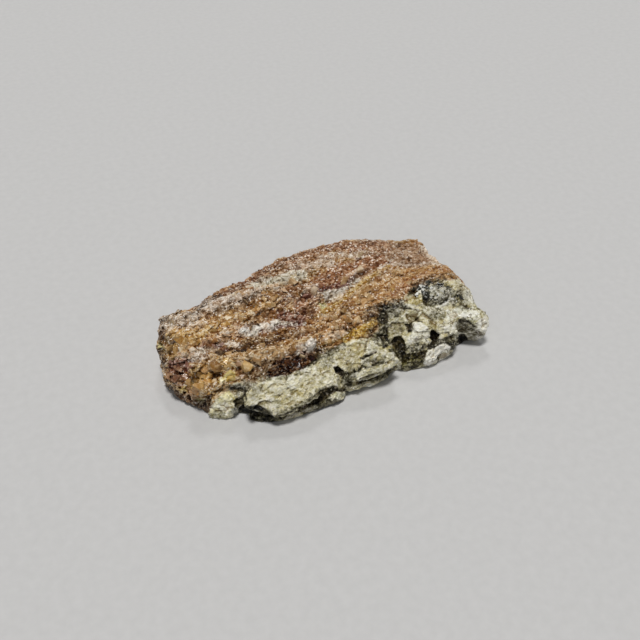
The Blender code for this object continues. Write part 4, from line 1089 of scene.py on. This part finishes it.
# ---------------------------------------------------------------- materials
class Nodes:
    """Small helper to build a node tree."""

    def __init__(self, name):
        self.material = bpy.data.materials.new(name)
        self.material.use_nodes = True
        self.tree = self.material.node_tree
        self.shader = self.tree.nodes["Principled BSDF"]

    def add(self, kind, inputs=None, **settings):
        node = self.tree.nodes.new("ShaderNode" + kind)
        for key, value in settings.items():
            setattr(node, key, value)
        for key, value in (inputs or {}).items():
            self.feed(node.inputs[key], value)
        return node

    def feed(self, socket, value):
        if isinstance(value, bpy.types.NodeSocket):
            self.tree.links.new(value, socket)
        else:
            socket.default_value = value

    def math(self, operation, a, b):
        return self.add("Math", {0: a, 1: b}, operation=operation).outputs[0]

    def plus(self, a, b):
        return self.math("ADD", a, b)

    def less(self, a, b):
        return self.math("SUBTRACT", a, b)

    def times(self, a, b):
        return self.math("MULTIPLY", a, b)

    def vector(self, operation, a, b=(0.0, 0.0, 0.0)):
        return self.add("VectorMath", {0: a, 1: b}, operation=operation).outputs[0]

    def scaled(self, vector, factor):
        return self.add("VectorMath", {0: vector, "Scale": factor}, operation="SCALE").outputs[0]

    def in_mm(self):
        return self.scaled(self.add("TexCoord").outputs["Object"], 1 / MM)

    def painted(self, name, output="Fac"):
        return self.add("Attribute", attribute_name=name).outputs[output]

    def noise(self, place, scale, detail, roughness=0.5, output="Fac"):
        inputs = {"Vector": place, "Scale": scale, "Detail": detail, "Roughness": roughness}
        return self.add("TexNoise", inputs).outputs[output]

    def channels(self, colour):
        return self.add("SeparateColor", {0: colour}).outputs

    def cells(self, place, scale):
        """Irregular cells: their random colour, and its three channels."""
        colour = self.add("TexVoronoi", {"Vector": place, "Scale": scale}).outputs["Color"]
        return colour, self.channels(colour)

    def gamma(self, colour, power):
        return self.add("Gamma", {"Color": colour, "Gamma": power}).outputs[0]

    def mix(self, factor, a, b, blend="MIX"):
        node = self.add("Mix", data_type="RGBA", blend_type=blend)
        self.feed(node.inputs["Factor"], factor)
        self.feed(node.inputs[6], a)
        self.feed(node.inputs[7], b)
        return node.outputs[2]

    def toned(self, factor, colour, tone):
        """The colour, multiplied by a tone as far as the factor says."""
        return self.mix(factor, colour, self.mix(1.0, colour, (*tone, 1.0), "MULTIPLY"))

    def spread(self, value, low, high, to_low, to_high):
        return self.add("MapRange", {0: value, 1: low, 2: high, 3: to_low, 4: to_high}).outputs[0]

    def finish(self, colour, roughness, normal, specular=None):
        self.feed(self.shader.inputs["Base Color"], colour)
        self.feed(self.shader.inputs["Roughness"], roughness)
        self.feed(self.shader.inputs["Normal"], normal)
        if specular is not None:
            self.shader.inputs["Specular IOR Level"].default_value = specular
        return self.material


def stone_material(name, sparkle, grain, contrast):
    """Stone coloured by its painted tint, with crystal cells of about grain mm that differ and glint."""
    n = Nodes(name)
    place = n.in_mm()
    drawn_out = n.vector("MULTIPLY", place, (0.68, 1.0, 1.0))
    tint = n.painted("tint", "Color")
    pale = n.painted("pale")
    relief_shading = n.painted("relief_shading")
    cells, cell_value = n.cells(drawn_out, 1 / grain)
    fine, fine_value = n.cells(drawn_out, 1.9 / grain)
    _, coarse_value = n.cells(drawn_out, 0.4 / grain)
    cloud = n.noise(drawn_out, 1.3, 7.0, 0.72)
    chalk = n.noise(drawn_out, 2.4, 6.0, 0.85)
    red, green, _ = n.channels(tint)

    # where it is crust, the finer far crust, or the broken end of the pale rock
    x = n.add("SeparateXYZ", {0: place}).outputs[0]
    crust = n.less(1.0, pale)
    far = n.times(n.spread(x, CALM_X - 2, CALM_X + 1, 0.0, 1.0), crust)
    broken = n.times(n.spread(x, BROKEN_X - 0.8, BROKEN_X + 0.8, 0.0, 1.0), pale)
    whole = n.less(1.0, n.times(broken, 0.5))

    # lighter and darker cells, with painted light on crests and painted shade in hollows
    calm = n.less(n.plus(1.0, n.times(broken, 0.15)), n.times(far, 0.42))
    calm = n.times(n.spread(pale, 0.0, 1.0, contrast, 0.75 * contrast), calm)
    even = n.spread(green, 0.50, 0.75, 1.0, 0.7)
    shift = n.spread(cell_value[0], 0, 1, -0.40, 0.40)
    shift = n.plus(shift, n.spread(fine_value[0], 0, 1, -0.46, 0.46))
    shift = n.plus(shift, n.spread(coarse_value[0], 0, 1, -0.14, 0.14))
    shift = n.plus(shift, n.spread(cloud, 0.3, 0.7, 0.22, -0.22))
    shift = n.times(n.times(shift, calm), even)
    shift = n.plus(shift, n.spread(relief_shading, 0.15, 0.85, 0.45, -0.22))
    colour = n.gamma(tint, n.math("MAXIMUM", n.plus(shift, 0.88), 0.42))
    warm = n.mix(coarse_value[1], (1.03, 0.97, 0.90, 1.0), (0.98, 1.00, 1.00, 1.0))
    colour = n.mix(crust, colour, n.mix(1.0, colour, warm, "MULTIPLY"))
    # painted shade: hollows darkened further towards a warm brown
    colour = n.toned(n.spread(relief_shading, 0.10, 0.40, 0.75, 0.0), colour, (0.34, 0.24, 0.14))
    dark = n.times(n.spread(fine_value[2], 0.10, 0.13, 0.65, 0.0), n.times(crust, even))
    colour = n.toned(dark, colour, (0.32, 0.18, 0.08))

    # painted glints: bright specks that stand in for glints off crystal faces
    lighter = n.gamma(colour, 0.42)
    _, spark_value = n.cells(place, 4.6)
    rarity = n.plus(spark_value[1], n.spread(cloud, 0.35, 0.65, -0.11, 0.065))
    painted_glints = n.times(n.spread(rarity, 0.89, 0.91, 0.0, 0.95), n.spread(pale, 0, 1, 1.0, 0.6))
    painted_glints = n.times(painted_glints, n.spread(red, 0.03, 0.25, 0.15, 1.0))
    painted_glints = n.times(painted_glints, n.less(1.0, n.times(far, 0.4)))
    colour = n.mix(painted_glints, colour, n.mix(0.6, lighter, (0.95, 0.87, 0.78, 1.0)))

    # cracks
    bent = n.scaled(n.noise(place, 0.9, 3.0, output="Color"), 1.1)
    bent = n.vector("ADD", place, bent)
    cracks = n.add("TexVoronoi", {"Vector": bent, "Scale": 0.6}, feature="DISTANCE_TO_EDGE")
    lines = n.spread(cracks.outputs["Distance"], 0.02, 0.07, 0.8, 0.0)
    lines = n.times(lines, n.spread(cloud, 0.44, 0.54, 1.0, 0.0))
    lines = n.times(lines, n.math("MAXIMUM", broken, n.times(crust, 0.35)))
    colour = n.toned(lines, colour, (0.16, 0.12, 0.06))

    # stains and flecks of the pale rock
    stains = n.times(n.times(n.spread(chalk, 0.36, 0.45, 0.72, 0.0), pale), whole)
    colour = n.toned(stains, colour, (0.33, 0.32, 0.22))
    flecks = n.times(n.times(n.spread(chalk, 0.53, 0.62, 0.0, 0.55), pale), whole)
    colour = n.mix(flecks, colour, lighter)

    # each cell leans its own way, so that it glints on its own
    middle = (0.5, 0.5, 0.5)
    tilt = n.scaled(n.vector("SUBTRACT", cells, middle), 0.9 * sparkle)
    finer = n.scaled(n.vector("SUBTRACT", fine, middle), 0.7 * sparkle)
    facing = n.add("NewGeometry").outputs["Normal"]
    tilt = n.vector("NORMALIZE", n.vector("ADD", facing, n.vector("ADD", tilt, finer)))
    lumps = n.noise(place, 4.0, 6.0, 0.75)
    bump = n.add("Bump", {"Strength": 1.0, "Distance": 0.00007, "Height": lumps, "Normal": tilt})
    return n.finish(colour, n.spread(cell_value[2], 0.40, 0.75, 0.10, 0.50), bump.outputs[0], 0.22)


def glassy_material():
    """Honey coloured crystals with clean, shiny faces."""
    n = Nodes("glassy crystal")
    place = n.in_mm()
    cloud = n.noise(place, 1.8, 5.0, 0.7)
    _, chip_value = n.cells(place, 3.4)
    power = n.plus(n.spread(cloud, 0.3, 0.7, 1.40, 0.70), n.spread(chip_value[0], 0, 1, -0.2, 0.2))
    colour = n.gamma(n.painted("tint", "Color"), power)
    lumps = n.noise(place, 2.5, 4.0, 0.6)
    bump = n.add("Bump", {"Strength": 1.0, "Distance": 0.00005, "Height": lumps})
    return n.finish(colour, n.spread(chip_value[1], 0.2, 0.9, 0.10, 0.45), bump.outputs[0], 0.6)


def sawn_material():
    """The hidden sawn face: flat, fine scratches, dull bands of both rocks."""
    n = Nodes("sawn stone")
    place = n.in_mm()
    bands = n.noise(n.vector("MULTIPLY", place, (0.25, 1.0, 1.0)), 0.45, 8.0, 0.65)
    ramp = n.add("ValToRGB", {0: bands})
    stops = ramp.color_ramp.elements
    stops[0].position = 0.34
    stops[0].color = (*WINE, 1.0)
    stops[1].position = 0.66
    stops[1].color = (*CRUST_WHITE, 1.0)
    for position, colour in ((0.44, RED_TAN), (0.52, TAN), (0.58, OCHRE)):
        stops.new(position).color = (*colour, 1.0)
    y = n.add("SeparateXYZ", {0: place}).outputs[1]
    pale = n.spread(n.plus(y, n.spread(bands, 0, 1, -3, 3)), -6.2, -5.2, 1.0, 0.0)
    pale_colour = n.mix(n.spread(bands, 0.4, 0.6, 0, 1), (*PALE_GREY, 1.0), (*PALE, 1.0))
    colour = n.mix(pale, ramp.outputs[0], pale_colour)
    _, value = n.cells(place, 2.6)
    colour = n.mix(1.0, colour, n.spread(value[0], 0, 1, 0.75, 1.2), "MULTIPLY")
    scratches = n.noise(n.vector("MULTIPLY", place, (0.4, 9.0, 1.0)), 1.0, 3.0)
    bump = n.add("Bump", {"Strength": 0.5, "Distance": 0.00002, "Height": scratches})
    return n.finish(colour, n.spread(scratches, 0.3, 0.7, 0.40, 0.60), bump.outputs[0])


# ---------------------------------------------------------------- grains
SHAPE_KINDS = 24  # grain shapes that the small crystals take in turn
SCATTERED = 12000
CLEAR_OF_FLOOR = 0.45  # mm
POCKET_DARK_SHARE = 0.66
HONEY_SHARE = 0.45  # of the glassy crystals, where the stone under them is lighter than HONEY_TONE
HONEY_TONE = 0.18

# Crystals big enough to pick out: name, colour, size in mm, frame pixel.
BIG_CRYSTALS = (
    ("brown crystal", (0.24, 0.12, 0.032), 2.3, (214, 367)),
    ("amber crystal", (0.64, 0.43, 0.17), 2.0, (227, 364)),
    ("brown crystal, left", (0.50, 0.32, 0.15), 1.4, (205, 370)),
    ("tan triangle", (0.62, 0.42, 0.19), 2.2, (246, 365)),
    ("tan triangle, right", (0.40, 0.24, 0.10), 1.7, (257, 363)),
    ("amber left", OCHRE, 1.7, (180, 340)),
    ("amber left, far", (0.40, 0.23, 0.07), 1.5, (172, 335)),
    ("amber left, right", OCHRE, 1.4, (196, 343)),
    ("window crystal", (0.38, 0.23, 0.09), 1.7, (345, 311)),
    ("window crystal, below", (0.34, 0.19, 0.07), 1.4, (347, 320)),
    ("window crystal, left", TAN, 1.3, (335, 322)),
    ("yellow bead", (0.88, 0.80, 0.50), 1.1, (222, 381)),
    ("yellow bead, right", (0.72, 0.52, 0.12), 0.9, (229, 376)),
    ("white crystal", (0.76, 0.68, 0.63), 1.3, (309, 346)),
    ("white crystal, low", (0.50, 0.34, 0.26), 1.1, (303, 351)),
    ("end bead", PALE_YELLOW, 0.8, (160, 347)),
    ("nose crystal", PALE_WHITE, 0.9, (369, 385)),
    ("ridge crystal", (0.34, 0.19, 0.09), 1.5, (283, 357)),
    ("low amber", (0.50, 0.30, 0.10), 1.6, (201, 386)),
    ("low amber, left", (0.46, 0.28, 0.10), 1.5, (190, 382)),
    ("pink crystal", (0.42, 0.26, 0.17), 1.4, (300, 343)),
    ("ridge crystal, right", RED_TAN, 1.3, (294, 349)),
    ("tan block", TAN, 1.4, (372, 300)),
    ("tan block, right", OCHRE, 1.2, (392, 290)),
)

# Where glassy crystals crowd: frame pixel, radius in mm, how many.
CLUSTERS = (
    ((180, 340), 2.6, 30),
    ((196, 384), 2.6, 26),
    ((232, 362), 2.4, 22),
    ((262, 356), 2.2, 18),
    ((290, 350), 2.2, 18),
    ((345, 316), 2.2, 20),
    ((226, 318), 3.0, 20),
    ((270, 305), 3.0, 18),
    ((365, 296), 3.0, 18),
    ((405, 276), 3.0, 14),
    ((306, 340), 2.0, 10),
    ((300, 285), 4.0, 14),
    ((350, 262), 4.0, 14),
    ((178, 368), 2.6, 18),
)

# Where white and dark crystals fill a pocket of the pale rock: middle, spread in mm, how many.
POCKETS = (
    ((424, 290), 1.1, 50),
    ((436, 290), 1.4, 80),
    ((446, 284), 1.0, 24),
    ((455, 292), 1.1, 24),
)


def convex_grain(rng, flatness):
    """One angular convex grain about 1 across, as vertices and triangles."""
    shape = bmesh.new()
    for _ in range(rng.integers(7, 11)):
        direction = rng.normal(size=3)
        direction /= np.linalg.norm(direction)
        shape.verts.new(direction * rng.uniform(0.42, 0.56) * (1.0, 0.82, flatness))
    hull = bmesh.ops.convex_hull(shape, input=shape.verts)
    left_over = hull["geom_interior"] + hull["geom_unused"]
    spare = {v for v in left_over if isinstance(v, bmesh.types.BMVert)}
    bmesh.ops.delete(shape, geom=list(spare), context="VERTS")
    bmesh.ops.triangulate(shape, faces=shape.faces)
    bmesh.ops.recalc_face_normals(shape, faces=shape.faces)
    shape.verts.index_update()
    points = np.array([v.co[:] for v in shape.verts])
    faces = np.array([[v.index for v in f.verts] for f in shape.faces])
    shape.free()
    return points, faces


def grain_shapes(count, rng, flatness):
    return [convex_grain(rng, flatness) for _ in range(count)]


def turns_about(normals, lean, rng):
    """Frames whose third axis leans a little from each normal, the first roughly along the slice."""
    up = normals + lean * rng.normal(size=normals.shape)
    up /= np.linalg.norm(up, axis=1)[:, None]
    along_slice = np.array([1.0, 0.12, 0.0]) + 0.55 * rng.normal(size=normals.shape)
    side = np.cross(up, along_slice)
    side /= np.linalg.norm(side, axis=1)[:, None]
    return np.stack([np.cross(side, up), side, up], 2)


def scattered(mesh, count, rng):
    """Points spread evenly over a mesh, except where it faces well down, with normals."""
    mesh.calc_loop_triangles()
    triangles = np.empty(len(mesh.loop_triangles) * 3, np.int32)
    mesh.loop_triangles.foreach_get("vertices", triangles)
    triangles = triangles.reshape(-1, 3)
    points = points_of(mesh)
    a, b, c = (points[triangles[:, k]] for k in range(3))
    cross = np.cross(b - a, c - a)
    area = np.linalg.norm(cross, axis=1)
    usable = area * (cross[:, 2] > -0.4 * area)
    chosen = rng.choice(len(triangles), size=count, p=usable / usable.sum())
    u, v = rng.random(count), rng.random(count)
    over = u + v > 1
    u[over], v[over] = 1 - u[over], 1 - v[over]
    spots = a[chosen] + (b - a)[chosen] * u[:, None] + (c - a)[chosen] * v[:, None]
    return spots, cross[chosen] / area[chosen][:, None]


def add_grains(name, material, spots, sizes, tints, pales, shapes, turns, sinks):
    """Many grains in one piece, each set into the skin at its spot."""
    all_points, all_faces, all_tints, all_pales = [], [], [], []
    start = 0
    for index, spot in enumerate(spots):
        points, faces = shapes[index % len(shapes)]
        turn = turns[index]
        placed = points @ turn.T * sizes[index] + spot - turn[:, 2] * sizes[index] * sinks[index]
        all_points.append(placed)
        all_faces.append(faces + start)
        all_tints.append(np.repeat(tints[index][None, :], len(points), 0))
        all_pales.append(np.full(len(points), pales[index]))
        start += len(points)
    mesh = bpy.data.meshes.new(name)
    mesh.from_pydata(np.vstack(all_points).tolist(), [], np.vstack(all_faces).tolist())
    store(mesh, "tint", np.clip(np.vstack(all_tints), DARKEST, 0.9), "FLOAT_COLOR")
    store(mesh, "pale", np.concatenate(all_pales))
    # every grain gets a middling relief shading, so the painted shade and light leave it nearly untouched
    store(mesh, "relief_shading", np.full(start, 0.60))
    mesh.update()
    add_piece(name, mesh, [material])


def surface_at(spots):
    """The nearest points of the rock's skin, and the way it faces there."""
    found = [tree.find_nearest(Vector(spot)) for spot in spots]
    return np.array([hit[0][:] for hit in found]), np.array([hit[1][:] for hit in found])


def around(px, radius, count):
    """Points strewn round the place that the camera sees at a frame pixel."""
    return on_rock(px) + radius * 0.6 * rng.normal(size=(count, 3))


def painted_at(spots):
    pixels, seen = seen_at(spots)
    pales = pale_share(spots, pixels, seen)
    return pales, tint_at(spots, pales, pixels, seen)


def varied(tints):
    powers = 1.0 + rng.normal(0.0, TONE_SPREAD, len(tints))
    return np.clip(tints, DARKEST, 1.0) ** powers[:, None]


def sizes_about(middle, spread, low, high, count):
    return np.clip(rng.lognormal(math.log(middle), spread, count), low, high)


def glassy_crystals():
    """The crystals that stand out from the crust, and those that fill the pockets."""
    spots = [on_rock(px) for _, _, _, px in BIG_CRYSTALS]
    sizes = [size for _, _, size, _ in BIG_CRYSTALS]
    named = len(spots)
    for px, radius, count in CLUSTERS:
        spots.extend(around(px, radius, count))
        sizes.extend(sizes_about(1.25, 0.30, 0.7, 2.1, count))
    pocketed = len(spots)
    for px, radius, count in POCKETS:
        spots.extend(around(px, radius, count))
        sizes.extend(rng.uniform(0.40, 0.95, count))
    spots, normals = surface_at(spots)
    sizes = np.array(sizes)
    pales, tints = painted_at(spots)
    honey = (rng.random(len(spots)) < HONEY_SHARE) & (tints.mean(axis=1) > HONEY_TONE)
    tints[honey] = tints[honey] * 0.5 + np.array(HONEY) * 0.5
    tints = varied(tints)
    tints[:named] = [colour for _, colour, _, _ in BIG_CRYSTALS]
    usable = (pales < 0.5) & (spots[:, 2] > 0.8)
    dark = rng.random(len(spots) - pocketed) < POCKET_DARK_SHARE
    shades = rng.uniform(0.7, 1.1, (len(dark), 1))
    tints[pocketed:] = np.where(dark[:, None], POCKET_DARK, POCKET_WHITE) * shades
    usable[pocketed:] = pales[pocketed:] > 0.6
    usable[:named] = True
    add_grains(
        "glassy_crystals",
        glassy_stone,
        spots[usable],
        sizes[usable],
        tints[usable],
        np.zeros(usable.sum()),
        grain_shapes(usable.sum(), rng, 0.70),
        turns_about(normals[usable], 0.35, rng),
        np.where(np.arange(len(spots)) < named, 0.02, 0.14)[usable],
    )
    return spots[usable], sizes[usable]


def small_crystals(large_spots, large_sizes):
    """Grains all over the crust, and thin flakes on the pale rock."""
    spots, normals = scattered(skin, SCATTERED, rng)
    clear = spots[:, 2] > CLEAR_OF_FLOOR
    for spot, size in zip(large_spots, large_sizes):
        clear &= np.linalg.norm(spots - spot, axis=1) > 0.50 * size
    spots, normals = spots[clear], normals[clear]
    pales, tints = painted_at(spots)
    patchy = noise_at(spots * BAND, 1.1, 20.0, 2)
    crust = pales < 0.5
    keep = crust & (rng.random(len(spots)) < 0.40 + 0.9 * patchy)
    sizes = sizes_about(0.42, 0.36, 0.22, 1.1, len(spots))
    sizes *= np.where(crust, 0.4 + 0.6 * coarseness(spots), 1.0)
    tints = varied(tints)
    light = tints.mean(axis=1) > 0.10
    white = light & (rng.random(len(spots)) < 0.02)
    tints[white] = tints[white] * 0.4 + np.array(CRUST_WHITE) * 0.7
    amber = crust & light & (rng.random(len(spots)) < 0.05)
    tints[amber] = tints[amber] * 0.4 + np.array(HONEY) * 0.6
    add_grains(
        "crust_crystals",
        grain_stone,
        spots[keep],
        sizes[keep],
        tints[keep],
        pales[keep],
        grain_shapes(SHAPE_KINDS, rng, 0.62),
        turns_about(normals[keep], 0.45, rng),
        rng.uniform(0.16, 0.32, keep.sum()),
    )
    light = tints.mean(axis=1) > 0.20
    fewer = np.where(spots[:, 0] > BROKEN_X, 0.5, 1.0)
    keep = ~crust & light & (rng.random(len(spots)) < (0.10 + 0.3 * patchy) * fewer)
    sizes = sizes_about(0.95, 0.35, 0.4, 1.6, len(spots))
    add_grains(
        "pale_flakes",
        grain_stone,
        spots[keep],
        sizes[keep],
        tints[keep],
        pales[keep],
        grain_shapes(SHAPE_KINDS, rng, 0.34),
        turns_about(normals[keep], 0.30, rng),
        rng.uniform(0.13, 0.19, keep.sum()),
    )


# ---------------------------------------------------------------- build
make_camera()
crust_stone = stone_material("crystalline stone", 0.75, 0.30, 1.0)
grain_stone = stone_material("crystal grains", 0.55, 0.34, 0.8)
glassy_stone = glassy_material()
sawn_stone = sawn_material()

bare_points, relief_shading, pale, pixels, seen = relieved(skin)
store(skin, "tint", tint_at(bare_points, pale, pixels, seen), "FLOAT_COLOR")
store(skin, "pale", pale)
store(skin, "relief_shading", relief_shading)
rng = np.random.default_rng(7)

small_crystals(*glassy_crystals())
cut_flat(skin, BASE_Z)
rock = add_piece("rock", skin, [crust_stone, sawn_stone])
for polygon in rock.data.polygons:
    if polygon.normal.z < -0.99 and polygon.center.z < 2 * BASE_Z * MM:
        polygon.material_index = 1
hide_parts("rock_slice")


# ---------------------------------------------------------------- floor and light
def floor_material():
    n = Nodes("pale paper")
    grain = n.noise(n.add("TexCoord").outputs["Object"], 900.0, 4.0)
    shade = n.spread(grain, 0.3, 0.7, 0.53, 0.56)
    n.feed(n.shader.inputs["Base Color"], n.add("CombineColor", {0: shade, 1: shade, 2: shade}).outputs[0])
    n.shader.inputs["Roughness"].default_value = 0.9
    return n.material


def make_floor():
    shape = bmesh.new()
    bmesh.ops.create_grid(shape, x_segments=1, y_segments=1, size=3.0)
    mesh = bpy.data.meshes.new("floor")
    shape.to_mesh(mesh)
    shape.free()
    mesh.materials.append(floor_material())
    floor = add_object("floor", mesh)


def make_light(name, place, spread, strength, colour):
    """A far, soft lamp that shines from a place towards the rock."""
    data = bpy.data.lights.new(name, "SUN")
    data.angle = math.radians(spread)
    data.energy = strength
    data.color = colour
    lamp = add_object(name, data)
    lamp.location = place
    lamp.rotation_euler = Vector(place).to_track_quat("Z", "Y").to_euler()


def make_sky(tree):
    """Dim light from all round, with a pale backdrop that meets the floor."""
    place = tree.nodes.new("ShaderNodeTexCoord").outputs["Generated"]
    parts = tree.nodes.new("ShaderNodeSeparateXYZ")
    tree.links.new(place, parts.inputs[0])
    fade = tree.nodes.new("ShaderNodeMapRange")
    for socket, value in ((1, 0.02), (2, 0.22), (3, 0.62), (4, 0.13)):
        fade.inputs[socket].default_value = value
    tree.links.new(parts.outputs[2], fade.inputs[0])
    background = tree.nodes["Background"]
    background.inputs[0].default_value = (0.84, 0.84, 0.85, 1.0)
    tree.links.new(fade.outputs[0], background.inputs[1])


make_floor()
make_light("key", (-0.03, -0.03, 0.38), 13, 2.3, (1.0, 0.985, 0.96))
make_light("glint", (-0.75 * EYE[0] * MM, -0.75 * EYE[1] * MM, 0.95 * EYE[2] * MM), 10, 0.5, (1.0, 1.0, 1.0))
make_light("fill", (-0.25, -0.22, 0.26), 50, 0.25, (0.97, 0.98, 1.0))
world = bpy.data.worlds.new("studio")
world.use_nodes = True
make_sky(world.node_tree)
bpy.context.scene.world = world
bpy.context.scene.view_settings.view_transform = "Standard"
